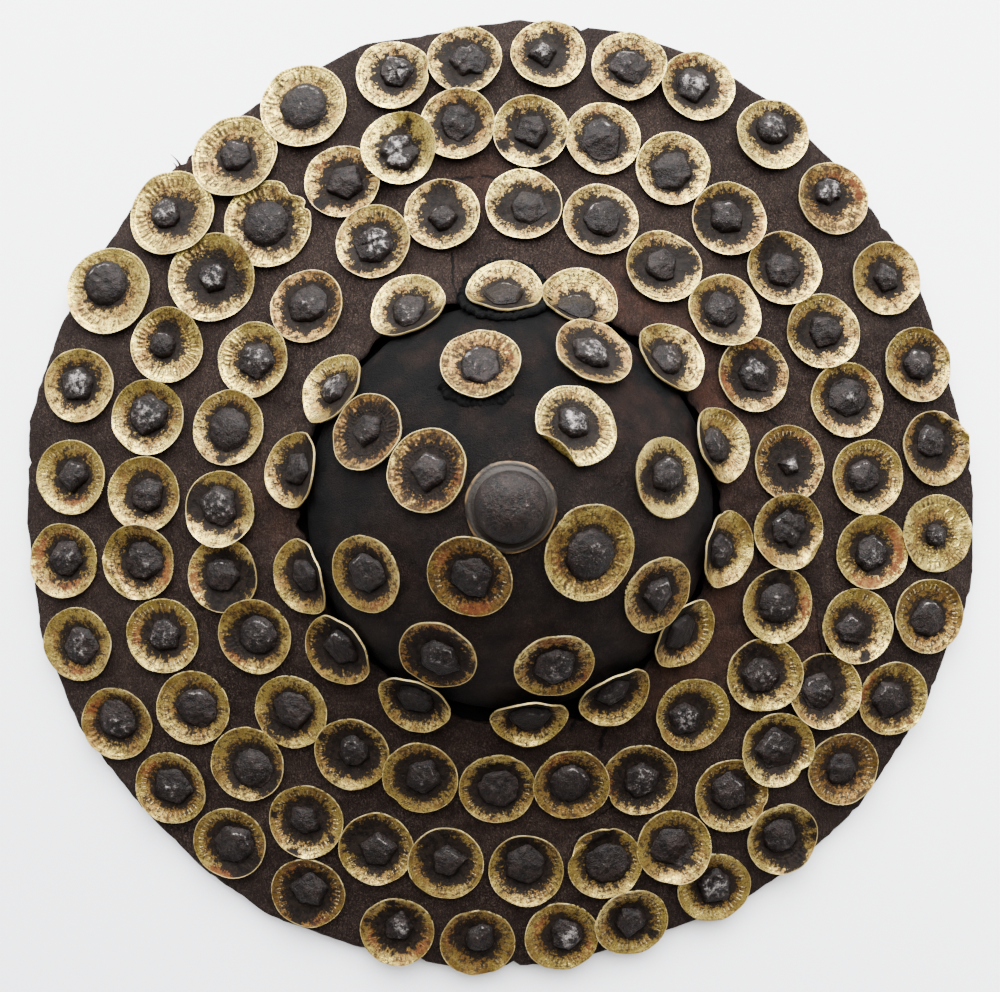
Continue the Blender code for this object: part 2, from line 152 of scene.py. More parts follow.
LOOKS = {
    "rim": (
        Look(5.4, ANY, ANY, .5, at=(120, 2.6), relief="arcs", run=((110, .2),), dents=((62, 9, .9),),
             creases=((58, 9.4, .9),)),
        Look(5.4, ANY, .55, .55, -.1, relief="rings", run=((60, .15),)),
        Look(4.8, ANY, .56, .55, -.1, rust=((100, .8, .3),), dents=((-42, 12, .7),)),
        Look(5.3, .9, .55, .9, at=(110, 2.6), kind="twin", relief="beads", rust=((80, .6, .9), (30, .8, .9))),
        Look(5.6, .6, .6, ANY, .2, at=(85, 2.4), kind="round", relief="arcs", run=((40, .2),)),
        Look(6.2, .8, ANY, .4, .3, at=(150, 1.6), relief="arcs", rust=((120, .8, .8),)),
        Look(6.3, .4, relief="rings", rust=((95, .8, .3),)),
        Look(4.9, 1, .62, at=(160, 1.6), kind="peak", relief="rings", run=((60, .12),),
             rust=((120, .9, .3),)),
        Look(6.2, .5, .68, ANY, .3, at=(20, 1.2), kind="twin", relief="rings", run=((160, .12), (250, .25))),
        Look(6.1, .8, .62, ANY, .3, at=(60, 1.6), kind="cross", relief="rings", dents=((0, 10, .9),)),
        Look(7.6, .25, .5, .3, .2, at=(100, .5), kind="round", relief="coin", run=((-60, .12),)),
        Look(5.7, .3, .47, at=(110, 1), relief="coin", run=((-50, .2),), rust=((150, .5, .3),),
             dents=((-20, 30, .5), (190, 10, .3))),
        Look(5.2, .7, .46, at=(170, 2.2), relief="coin", run=((20, .2), (-50, .2)), dents=((-70, 14, .4),)),
        Look(7.3, .1, .54, .25, .1, at=(125, 3.4), kind="round", relief="beads"),
        Look(6.2, .9, .62, ANY, .1, at=(130, 1.2), rust=((250, .7, .4),)),
        Look(5.6, .25, .58, ANY, .1, at=(40, 1.2), rust=((-80, .62, 1), (60, .6, .7), (200, .55, .4))),
        Look(6, .6, .62, at=(40, 1), rust=((165, .75, 1), (-70, .68, 1), (80, .7, .7))),
        Look(6.3, .6, .62, at=(-20, 1), rust=((170, .7, .6), (-90, .72, .8), (20, .7, .4))),
        Look(6.7, .5, .64, .5, at=(100, 1), relief="beads", rust=((150, .78, .9),)),
        Look(6.7, .45, .62, .55, -.1, relief="rings", rust=((140, .8, .8),)),
        Look(6.8, .15, .68, .3, at=(-20, 1.4), run=((-55, .5),), rust=((-95, .93, 1.2), (200, .62, .7))),
        Look(6.2, .3, .7, .9, -.5, at=(60, .8), relief="rings", run=((-110, .3),),
             rust=((-80, .8, .8), (120, .75, .8))),
        Look(6, .8, .69, .45, at=(60, 1), blots=((98, .86, 1.4), (160, .84, 1)),
             rust=((200, .7, .9), (-40, .8, .8)), dish=2),
        Look(5, .2, .62, .65, -.2, at=(60, 1.6), relief="arcs", run=((150, .15),), rust=((160, .75, .8),)),
        Look(5.7, .8, .6, .5, at=(20, 1.4), rust=((150, .65, .9), (-30, .8, .7)), creases=((-40, -1, -.25),)),
        Look(6.2, .3, .6, .3, relief="rings", blots=((-35, .72, 1.6),)),
        Look(6.3, .8, .6, ANY, .1),
        Look(5.8, .25, .66, ANY, .2, at=(150, 1), relief="beads", run=((-60, .4),),
             blots=((25, .9, 1.6), (0, .95, 1.3))),
        Look(5.7, .1, .56, 1, -.4, relief="rings", rust=((90, .85, .5), (190, .8, .4))),
        Look(7, .25, .64, .4, at=(200, .6), relief="beads", rust=((150, .85, .8), (-60, .82, .4))),
        Look(6.1, .1, .55, .7, -.25, at=(-60, .6), relief="rings"),
        Look(3.6, .5, .36, .3, .35, kind="round", relief="crescents", dish=1),
    ),
    "second": (
        Look(5.7, .2, .62, .4, .1, relief="rings"),
        Look(6.5, .8, .71, .55, at=(60, 1), rust=((50, .82, .7),)),
        Look(5.8, .25, .62, .4, at=(-10, 1), relief="rings", run=((190, .2),)),
        Look(6, .3, .66, .3, at=(200, .6), run=((115, .3),)),
        Look(6.2, .3, .74, at=(120, .8), run=((180, .2),), rust=((40, .8, .3),)),
        Look(6.9, .05, .64, ANY, .2, at=(-110, .8), relief="rings"),
        Look(7.1, .15, .66, ANY, .2, at=(-150, .6), rust=((100, .75, .6),)),
        Look(6, .2, .64, ANY, .35, at=(60, 1), blots=((205, .82, 2.2), (-65, .9, 1.8), (-20, .96, 1.2))),
        Look(5.9, .4, .66, .5, at=(100, 1), relief="rings", rust=((60, .6, .3),)),
        Look(6.4, .9, .58, 0, 1, at=(-100, .8), kind="twin", blots=((70, .75, .9),)),
        Look(6.5, .05, .68, .55, at=(-20, 1.2), blots=((225, .84, 2.4),), rust=((140, .7, .8),)),
        Look(7.4, .35, .55, at=(160, 1), kind="round", relief="coin", run=((40, .15), (-40, .2)),
             rust=((170, .7, .3),), dents=((52, 13, 2.2), (22, 5, 1.5))),
        Look(5.1, .75, .61, ANY, .3, relief="coin", run=((-20, .15),)),
        Look(4.2, .1, .5, ANY, .3, at=(170, 1.6), kind="round", relief="coin", run=((80, .2),),
             rust=((90, .5, .5),)),
        Look(6.8, .7, .6, ANY, .2, at=(100, .8), relief="arcs", rust=((110, .75, .3),)),
        Look(6, .4, .6, .35, .1, at=(-20, 1), rust=((150, .7, .6), (-30, .75, .5))),
        Look(6.3, .5, .64, at=(20, 1.2), relief="rings", rust=((-20, .8, 1),),
             creases=((215, 9, .8), (222, 7.4, -.4))),
        Look(5.6, .6, .62, .35, relief="rings", rust=((180, .72, .8),)),
        Look(6.8, .05, .6, .45, .05, at=(-10, 1), relief="rings"),
        Look(6.4, .25, .68, ANY, .1, at=(-50, 2.2), kind="round", relief="rings", run=((-40, .3),)),
        Look(5.4, .2, .66, at=(150, .6), blots=((170, .88, 1.2), (-112, .92, 1.5), (-35, .84, 1.1))),
        Look(6.1, .3, .68, relief="rings", run=((150, .3), (90, .15))),
        Look(6.3, .1, .7, ANY, .1, at=(70, .6), relief="rings", run=((110, .35),), rust=((-120, .72, .3),)),
        Look(7, .1, .72, .4, at=(95, 1.4), relief="rings", run=((100, .3),)),
        Look(7.2, .2, .66, .3, at=(-20, .8), run=((95, .35),), dents=((160, 16, .9),),
             creases=((128, 8.6, 1.3),)),
        Look(6.8, .25, .64, ANY, .15),
        Look(6.7, .35, .7, .3, at=(120, 1), relief="rings", dents=((40, 14, 1.4), (-22, 8, .8))),
        Look(6.8, .35, .7, ANY, .3, at=(160, .6), rust=((-60, .8, .3),), dents=((-42, 11, 1.6),), dish=2.3),
        Look(6, .5, .68, .5, at=(200, 1.6), run=((90, .4),)),
        Look(5.8, .2, .58, .45, at=(215, 2), relief="arcs", blots=((-75, .85, 1.8),)),
        Look(5.8, .7, .58, at=(-80, .6), relief="beads",
             rust=((20, .8, 1.2), (-95, .85, 1.1), (-30, .75, .8))),
    ),
    "third": (
        Look(4.3, 1, .71, .8, at=(-60, .8), kind="peak", rust=((40, .75, .8), (-20, .8, .5))),
        Look(6.2, .7, .72, .7, at=(20, .6), rust=((200, .8, .8), (90, .75, .8))),
        Look(6.3, .4, .66, .35, at=(170, .8), relief="arcs", dents=((205, 16, .5),)),
        Look(5.5, .1, .66, .3, at=(130, 1), relief="rings", run=((20, .3), (190, .15))),
        Look(6.3, .3, .7, ANY, .2, at=(60, .8), run=((225, .15),)),
        Look(5.9, .15, .64, ANY, .4, at=(-20, 1.4), run=((-5, .5), (190, .2))),
        Look(4.6, .3, .62, at=(-90, .8), relief="rings", run=((95, .35),)),
        Look(6.3, .8, .66, ANY, .3, kind="cross", run=((-110, .25),)),
        Look(6.6, .4, .74, .85, at=(60, .6), rust=((100, .8, .3),)),
        Look(6.3, .6, .56, ANY, .1, at=(10, .8), relief="coin", rust=((-60, .7, .3),)),
        Look(6.7, .15, .66, ANY, .1, kind="round", blots=((-100, .82, 1.5),)),
        Look(6.6, .6, .62, at=(150, 1.2), relief="arcs", run=((165, .5),), blots=((-50, .88, 1.3),)),
        Look(5.8, .1, .64, at=(190, .6), run=((0, .4), (-85, .6)), rust=((190, .85, .9),)),
        Look(6.3, .45, .64, at=(20, .6), kind="round", relief="beads", run=((200, .25),),
             rust=((215, .8, .9),)),
        Look(6.4, .1, .61, .35, run=((-130, .3),), rust=((150, .75, .3),)),
        Look(5.3, .4, .74, at=(60, .6), relief="rings", blots=((150, .85, 1.2),)),
        Look(6.4, .3, .7, at=(20, .6), run=((20, .15),), dents=((225, 12, .8),), creases=((60, 4, .5),)),
        Look(6.6, .3, .74, .3, at=(-60, .6), creases=((95, 9.4, .8),)),
        Look(6.2, .05, .66, .6, -.15, kind="round", relief="rings", rust=((120, .8, .8),)),
        Look(6, .6, .76, .4, at=(-60, .6), relief="rings", rust=((190, .8, 1),), dents=((-150, 6, .8),)),
        Look(5.9, .7, .66, .25, .25, at=(210, 2.4), dents=((200, 8, .4),)),
        Look(6.3, .5, .64, at=(200, .6), relief="rings", run=((120, .3),)),
        Look(6.4, .45, .62, at=(60, .6), kind="round", run=((95, .45),),
             rust=((0, .8, .9), (60, .8, .5), (200, .8, .3))),
        Look(6.2, .35, .68, .4, -.1, at=(60, 1.2), kind="twin", creases=((-40, 10.2, .5),)),
    ),
    "foot": (
        Look(ANY, .5, .5, .5),
        Look(ANY, .6, .6, .35),
        Look(ANY, .05, .52, .45, .1, at=(180, 2.4), relief="rings"),
        Look(ANY, .05, .6, .35, at=(180, 1.5), relief="rings"),
        Look(ANY, .5, .62, .15, .15),
        Look(5.4, .8, .56, .3),
        Look(ANY, .1, .66, .5, run=((-130, .3),)),
        Look(6.2, .1, .66, .4),
        Look(ANY, .15, .76, .3),
        Look(ANY, .05, .7, .5),
        Look(ANY, .15, .62, .5, at=(20, .8), relief="arcs"),
        Look(ANY, .5, .66, .5),
        Look(ANY, .3, .62, .5),
        Look(5.3, .4, .52, .4, .1),
    ),
    "mid": (
        Look(6.2, .4, .63, .1, .25, at=(60, 1.2), run=((200, .25),)),
        Look(6.4, .8, .77, .5, -.3),
        Look(6.8, .45, .57, .75, -.2, relief="coin", rust=((25, .7, .6),), creases=((20, 7.6, .4),)),
        Look(5.3, .3, .75, .9, -.2, relief="coin", run=((0, .2),), rust=((-60, .75, .6),)),
        Look(6.8, .3, .68, .45, -.1, rust=((-60, .8, .7),)),
        Look(6.8, .5, .84, .8, -.3, at=(-90, 1.2), rust=((90, .8, .7),)),
        Look(6.6, .6, .66, .6, -.1, at=(-60, .8), rust=((90, .8, .9), (-30, .85, .7))),
        Look(6.4, .5, .64, .6, .05, at=(60, .5)),
    ),
    "top": (
        Look(5.1, .9, .62, .25, .25, at=(130, 1.2), relief="coin", fold=(233, 8.6, 125), dish=1),
        Look(5.9, .3, .71, 1, relief="coin", rust=((-20, .75, .8), (-80, .7, .8))),
        Look(6.6, .4, .62, .9, -.2, at=(-20, .6), relief="arcs", rust=((-80, .8, 1), (150, .75, .8)),
             creases=((172, 7.4, .7), (176, 10, -.4), (100, 10, .3))),
        Look(7.7, .45, .57, .45, .15, at=(-60, .8), kind="round", relief="coin", rust=((190, .7, .6),)),
    ),
}

# How steeply a foot stud's inner part stands, and how far the stud has slipped outwards over its crease
FOOT_WALLS = {1: 56, 2: 54, 3: 58, 4: 52, 5: 56, 8: 60}
FOOT_SLIPS = {3: -1.0, 4: 2.0, 5: -3.0, 8: 2.0, 9: -.8, 10: -2.6, 11: -1.2, 12: -1.6}

# The first of each pair lies over the second
LAPS = [(pair.split()[0], pair.split()[1]) for pair in (
    "rim10 rim11", "rim11 rim12", "rim11 second11", "rim12 second12", "second12 second11", "second9 second8",
    "second9 second10", "second8 rim8", "third7 second10", "third5 second7", "second5 second4",
    "second4 second3", "third2 third1", "third23 third0", "rim31 second30", "second29 rim30",
    "second28 rim29", "third22 third21", "third21 second28", "second27 second26", "second27 rim28",
    "rim27 second26",
    "second25 rim26", "second25 second24", "rim25 second24", "third18 third19", "second19 third14",
    "third13 third12", "third11 third12", "second16 second15",
)]

SHEET = 0.6          # thickness of a disc's brass
LAP_CLEAR = 0.12     # air between two discs that overlap
DOME_CURVE = 0.0062  # how fast the dome falls away under a disc, per mm
STAMP_DEPTH = .17    # height of the stamped relief

# Points round each piece
FACE_TURNS, BOSS_TURNS, NAIL_TURNS = 440, 300, 40
WASHER_TURNS, KNOB_TURNS, COLLAR_TURNS, GRIP_TURNS = 120, 110, 160, 28
# Rows of points across the face's front and back, the dome and its hollow, and along the grip
FACE_ROWS, BACK_ROWS, DOME_ROWS, HOLLOW_ROWS, GRIP_ROWS = 88, 20, 75, 30, 96
# A disc's points round and rows of relief
DISC_TURNS = {"coin": (250, 38), "crescents": (250, 38), "beads": (180, 26)}
PLAIN_DISC = (60, 0)

# Cracks, slits and scratches in the leather: from, to, half width
CRACKS = (
    ((-13.9, 98.3), (-8.4, 98.5), .6), ((-5.0, 98.6), (-0.9, 98.4), .6),
    ((-14.2, 73.5), (-13.3, 57.0), .6), ((81.6, 24.4), (86.5, 20.8), .6),
    ((24.9, -63.5), (21.2, -70.8), .7), ((33.4, -69.0), (30.1, -77.6), .6),
    ((35.8, -94.6), (24.1, -106.6), .3), ((140.6, -26.0), (140.5, -39.5), .6),
    ((77.5, -8.0), (79.0, -20.0), .5), ((-61, 46), (-69, 55), .5),
)

# Chips out of the rim, and tears of the face's inner edge: bearing, half width in degrees, depth
CHIPS = (
    (80.2, .5, 1.3), (342.2, .8, .8), (14.4, .5, .9), (3.2, .6, .8), (336.1, .6, .9), (260.3, .7, .7),
    (271.8, .35, 1.6), (100, .4, .5), (133.5, .5, .9), (150, .5, .6), (176, .6, .7), (190, .5, .7),
    (205, .4, .6), (222, .6, .6), (300, .5, .6), (318, .5, .7), (35, .5, .8), (52, .5, .6),
)
TEARS = ((352, 14, 1.6), (120, 12, 1.2), (264, 20, 3.6), (294, 11, 7.0), (178, 8, 1.5), (48, 9, 1.0))

# Rubbed, reddish places on the leather, in plan: centre, radius, strength
RUBBED = (
    ((38, 40), 26, .9), ((62, 22), 18, .8), ((58, -30), 20, .9), ((-16, 40), 18, .4),
    ((52, -56), 14, .6), ((-30, -20), 20, .3), ((-106, 106), 9, 1.2), ((95, -50), 16, .5),
    ((15, -50), 16, .35), ((-6, 96), 12, .6), ((-70, -4), 12, .5), ((30, 62), 10, .5),
)

# ---------------------------------------------------------------- surfaces

def through(stations, value):
    """Heights at an array of places on the smooth curve through the stations."""
    x, z = np.array(stations, float).T
    slope = np.empty(len(x))
    slope[1:-1] = (z[2:] - z[:-2]) / (x[2:] - x[:-2])
    slope[0] = (z[1] - z[0]) / (x[1] - x[0])
    slope[-1] = (z[-1] - z[-2]) / (x[-1] - x[-2])
    value = np.clip(value, x[0], x[-1])
    k = np.clip(np.searchsorted(x, value, side="right") - 1, 0, len(x) - 2)
    width = x[k + 1] - x[k]
    t = (value - x[k]) / width
    return (
        (2 * t**3 - 3 * t**2 + 1) * z[k] + (t**3 - 2 * t**2 + t) * width * slope[k]
        + (3 * t**2 - 2 * t**3) * z[k + 1] + (t**3 - t**2) * width * slope[k + 1]
    )


def rim_radius(bearing):
    """Distance from the origin to the rim's cut edge, which runs straight from corner to corner."""
    degrees = np.degrees(bearing) % 360
    a, r = np.array(RIM_CORNERS, float).T
    k = np.clip(np.searchsorted(a, degrees, side="right") - 1, 0, len(a) - 2)
    before, after = np.radians(degrees - a[k]), np.radians(a[k + 1] - degrees)
    return r[k] * r[k + 1] * np.sin(before + after) / (r[k] * np.sin(before) + r[k + 1] * np.sin(after))


def face_share(x, y):
    """How far points in plan lie from the face's inner edge (0) to the rim (1)."""
    share = np.full(np.shape(x), 0.5)
    for _ in range(12):
        away_x = x - BOSS_AT[0] * (1 - share)
        away_y = y - BOSS_AT[1] * (1 - share)
        reach = np.hypot(away_x, away_y)
        share = (reach - FACE_INNER) / (rim_radius(np.arctan2(away_y, away_x)) - FACE_INNER)
    return share


def face_height(x, y):
    """Height of the leather face's upper side."""
    return through(FACE_STATIONS, FACE_INNER + face_share(x, y) * (FACE_OUTER - FACE_INNER))


def from_boss(x, y):
    return np.hypot(x - BOSS_AT[0], y - BOSS_AT[1])


def boss_rise(radius):
    return float(through(BOSS_STATIONS, radius))


def boss_height(x, y):
    """Height of the boss's outer side."""
    return BOSS_SEAT + through(BOSS_STATIONS, from_boss(x, y))


def frame_on(height, point):
    """The matrix, in mm, that stands a piece on a surface with Z along its normal and X towards +X."""
    x, y = np.array(point, float)
    normal = Vector((
        float(height(x - 1, y) - height(x + 1, y)) / 2,
        float(height(x, y - 1) - height(x, y + 1)) / 2,
        1.0,
    )).normalized()
    east = (Vector((1, 0, 0)) - normal.x * normal).normalized()
    turn = Matrix((east, normal.cross(east), normal)).transposed().to_4x4()
    return Matrix.Translation((x, y, float(height(x, y)))) @ turn


def bent_over_crease(points, disc):
    """Bends a foot stud that lies flat in XY with +X outwards, so that its inner part climbs the boss's wall.

    The stud has slipped outwards over the crease. Other studs stay as they are.
    """
    if not disc.wall:
        return points
    (inner_radius, inner_height), (outer_radius, outer_height) = FACE_STATIONS[:2]
    face_slope = math.atan2(inner_height - outer_height, outer_radius - inner_radius)
    bend_radius = CREASE_LENGTH / (math.radians(disc.wall) - face_slope)
    inwards = -disc.slip - points[:, 0]
    bent = np.clip(inwards, -CREASE_LENGTH / 2, CREASE_LENGTH / 2)
    middle = (math.radians(disc.wall) + face_slope) / 2
    angle = middle + bent / bend_radius
    rest = inwards - bent
    x = -bend_radius * (np.sin(angle) - math.sin(middle)) - rest * np.cos(angle)
    z = bend_radius * (math.cos(middle) - np.cos(angle)) + rest * np.sin(angle)
    up = points[:, 2]
    return np.stack((x + up * np.sin(angle), points[:, 1], z + up * np.cos(angle)), axis=1)


# ---------------------------------------------------------------- fields over points

def ripple(points, wavelength, seed, waves=10):
    """A smooth random field over points, about -1 to 1, of the sum of waves in many directions."""
    points = np.atleast_2d(points)
    dice = np.random.default_rng(seed)
    total = np.zeros(len(points))
    for _ in range(waves):
        direction = dice.normal(size=points.shape[1])
        direction /= np.linalg.norm(direction)
        length = wavelength * dice.uniform(.6, 1.7)
        total += np.sin(points @ direction * math.tau / length + dice.uniform(0, math.tau))
    return total / math.sqrt(waves) / 1.2


def ripples(points, *layers):
    """The sum of ripples, each given as (amount, wavelength, seed)."""
    return sum(amount * ripple(points, wavelength, seed) for amount, wavelength, seed in layers)


def smoothstep(low, high, value):
    t = np.clip((value - low) / (high - low), 0, 1)
    return t * t * (3 - 2 * t)


def turned_apart(a, b):
    """The angle between two directions, 0 to pi."""
    return np.abs((a - b + math.pi) % math.tau - math.pi)


def hump(angle, at, half):
    """A smooth hump, 1 at a bearing and fading over half its width, both in degrees."""
    return np.exp(-(turned_apart(angle, math.radians(at)) / math.radians(half)) ** 2)


def groove(value, width):
    """1 where a value is 0, fading over a width."""
    return np.exp(-((value / width) ** 2))


def around(turns, start=0.0):
    """Angles evenly round a circle, and the unit vectors along them."""
    angle = math.tau * (np.arange(turns) + start) / turns
    return angle, np.stack((np.cos(angle), np.sin(angle)), 1)


def clear_of_studs(x, y, rings, near, far):
    """0 under and near the studs of some rings, 1 well away from every one of them."""
    nearest = np.full(np.shape(x), 1e9)
    for name in rings:
        for _, point, _ in RINGS[name].places():
            nearest = np.minimum(nearest, np.hypot(x - point[0], y - point[1]))
    return smoothstep(near, far, nearest)


# ---------------------------------------------------------------- meshes

def grid_faces(rows, columns, closed=False):
    """Quads between rows of points that run round. closed also joins the last row to the first."""
    r = np.arange(rows if closed else rows - 1)[:, None]
    c = np.arange(columns)[None, :]
    here, after, beside = r * columns, (r + 1) % rows * columns, (c + 1) % columns
    return np.stack((here + c, here + beside, after + beside, after + c), -1).reshape(-1, 4).tolist()


def fan(row_start, columns, centre):
    """Triangles from one row of points to a centre point."""
    return [(row_start + (c + 1) % columns, row_start + c, centre) for c in range(columns)]


def skin(rows, columns):
    """Faces of rows of points, closed at both ends by the two points that follow them."""
    count = rows * columns
    last = [face[::-1] for face in fan(count - columns, columns, count + 1)]
    return grid_faces(rows, columns) + fan(0, columns, count) + last


def volume(points, faces):
    """Signed volume of a closed mesh, which tells which way its faces look."""
    total = 0.0
    for count in (3, 4):
        chosen = np.array([f for f in faces if len(f) == count], int)
        if len(chosen):
            a = points[chosen[:, 0]]
            for k in range(1, count - 1):
                total += np.einsum("ij,ij->", a, np.cross(points[chosen[:, k]], points[chosen[:, k + 1]]))
    return total / 6


def piece(name, points, faces, surface, nodes, place=None, values=None, sharp=None):
    """A closed piece from points in mm. It rides on the buckler and stands for CAD nodes."""
    points = np.asarray(points, float)
    if volume(points, faces) < 0:
        faces = [f[::-1] for f in faces]
    if place is not None:
        points = points @ np.array(place.to_3x3()).T + np.array(place.to_translation())
    mesh = bpy.data.meshes.new(name)
    mesh.from_pydata((points * MM).tolist(), [], faces)
    for label, data in (values or {}).items():
        data = np.asarray(data, np.float32)
        if data.ndim == 0:
            data = np.full(len(points), data)
        kind, field = ("FLOAT_VECTOR", "vector") if data.ndim == 2 else ("FLOAT", "value")
        mesh.attributes.new(label, kind, "POINT").data.foreach_set(field, data.ravel())
    mesh.materials.append(surface)
    mesh.shade_smooth()
    if sharp:
        mesh.set_sharp_from_angle(angle=math.radians(sharp))
    obj = bpy.data.objects.new(name, mesh)
    bpy.context.scene.collection.objects.link(obj)
    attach(obj, BODY)
    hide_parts(*nodes)
    return obj


# ---------------------------------------------------------------- leather

OUTER, CUT, HIDDEN = 0, 1, 2  # kinds of rows on the leather: its outer side, its cut edges, its back


def rubbed(x, y):
    """How reddish and rubbed the leather is, 0 to 1."""
    total = np.zeros(np.shape(x))
    for (cx, cy), radius, strength in RUBBED:
        total += strength * np.exp(-((x - cx) ** 2 + (y - cy) ** 2) / radius**2)
    return np.clip(total, 0, 1.2)


def leather_values(kind, rub, soot):
    return {"cut": kind == CUT, "plain": kind == HIDDEN, "rub": rub, "soot": soot}


def face_top(radial):
    return through(FACE_STATIONS, radial)


def leather_face(surface):
    """The face: the CAD's shell with its true rim, its torn inner edge, its chips and its uneven grain."""
    turns = FACE_TURNS
    bearing, circle = around(turns)
    torn = 0.9 * np.abs(ripple(circle, .22, 3)) + 0.5 * ripple(circle, .07, 4) + 0.7
    for at, half, depth in TEARS:
        torn += depth * hump(bearing, at, half)
    rim = rim_radius(bearing)
    ragged = ripples(circle, (.18, .05, 6), (.1, .017, 7))
    for at, half, depth in CHIPS:
        ragged -= depth * smoothstep(1, .35, turned_apart(bearing, math.radians(at)) / math.radians(half))
    inner_edge, outer_edge = FACE_INNER + torn, FACE_OUTER + ragged

    # Each row's distance out, as the CAD's stations count it, its height, and its kind
    rows = []
    for t in np.linspace(0, 1, FACE_ROWS):
        radial = inner_edge + t * (outer_edge - 0.5 - inner_edge)
        rows.append((radial, face_top(radial), OUTER))
    rows.append((outer_edge - .12, face_top(outer_edge) - .18, CUT))
    for k, fall in enumerate((.9, 1.7, 2.5, 3.3, 4.1, 4.7)):
        fray = 0.28 * ripple(np.column_stack((circle * 30, np.full(turns, k * 1.7))), 2.4, 20 + k)
        rows.append((outer_edge + fray - .1 * k, 5.0 - fall, CUT))
    lip = FACE_OUTER - LANDING - LANDING_LIP
    rows += [
        (outer_edge - .9, 0.0, HIDDEN), (FACE_OUTER - 3.0, 0.0, HIDDEN), (FACE_OUTER - LANDING, 0.0, HIDDEN),
        (FACE_OUTER - LANDING - 1.6, 1.2, HIDDEN), (lip, LIP_RISE, HIDDEN),
    ]
    for t in np.linspace(.04, 1, BACK_ROWS):
        radial = lip + t * (inner_edge - lip)
        rows.append((radial, face_top(radial) - FACE_THICK, HIDDEN))
    for fall, slack in ((4.0, .35), (2.8, -.25), (1.6, .3), (.7, .05)):
        frayed = inner_edge + slack * ripple(circle, .06, int(fall * 10))
        rows.append((frayed, face_top(inner_edge) - fall, CUT))

    inner, outer = BOSS_AT + FACE_INNER * circle, rim[:, None] * circle
    points = []
    for radial, height, _ in rows:
        share = (np.full(turns, radial) - FACE_INNER) / (FACE_OUTER - FACE_INNER)
        points.append(np.column_stack((inner + share[:, None] * (outer - inner), np.full(turns, height))))
    points = np.concatenate(points)
    kind = np.repeat([row[2] for row in rows], turns)
    x, y, z = points.T
    plan = points[:, :2]
    clear = clear_of_studs(x, y, ON_FACE, 7, 13)
    press = 1 - clear
    free = (1 - press) * smoothstep(0, 6, rim_radius(np.arctan2(y, x)) - np.hypot(x, y))
    swell = ripples(plan, (.42, 26, 11), (.2, 9, 12), (.07, 3.2, 13))
    lift = np.where(kind == OUTER, free * swell - .12 * press, 0)
    lift = np.where((kind == HIDDEN) & (z > 3.4), .15 * ripple(plan, 14, 14), lift)
    reach = from_boss(x, y)
    lift = lift + np.where(kind == OUTER, smoothstep(70, 63, reach) * .5 * ripple(plan, 7, 16), 0)
    points[:, 2] = np.maximum(z + lift, 0)
    # Blackened leather and painted shade along the face's torn inner edge, where it overhangs the hollow
    # round the dome's foot
    values = leather_values(kind, rubbed(x, y), smoothstep(65, 61.5, reach) * .9 * (kind != HIDDEN))
    faces = grid_faces(len(rows), turns, closed=True)
    piece("leather_face", points, faces, surface, ["face_leather"], values=values)


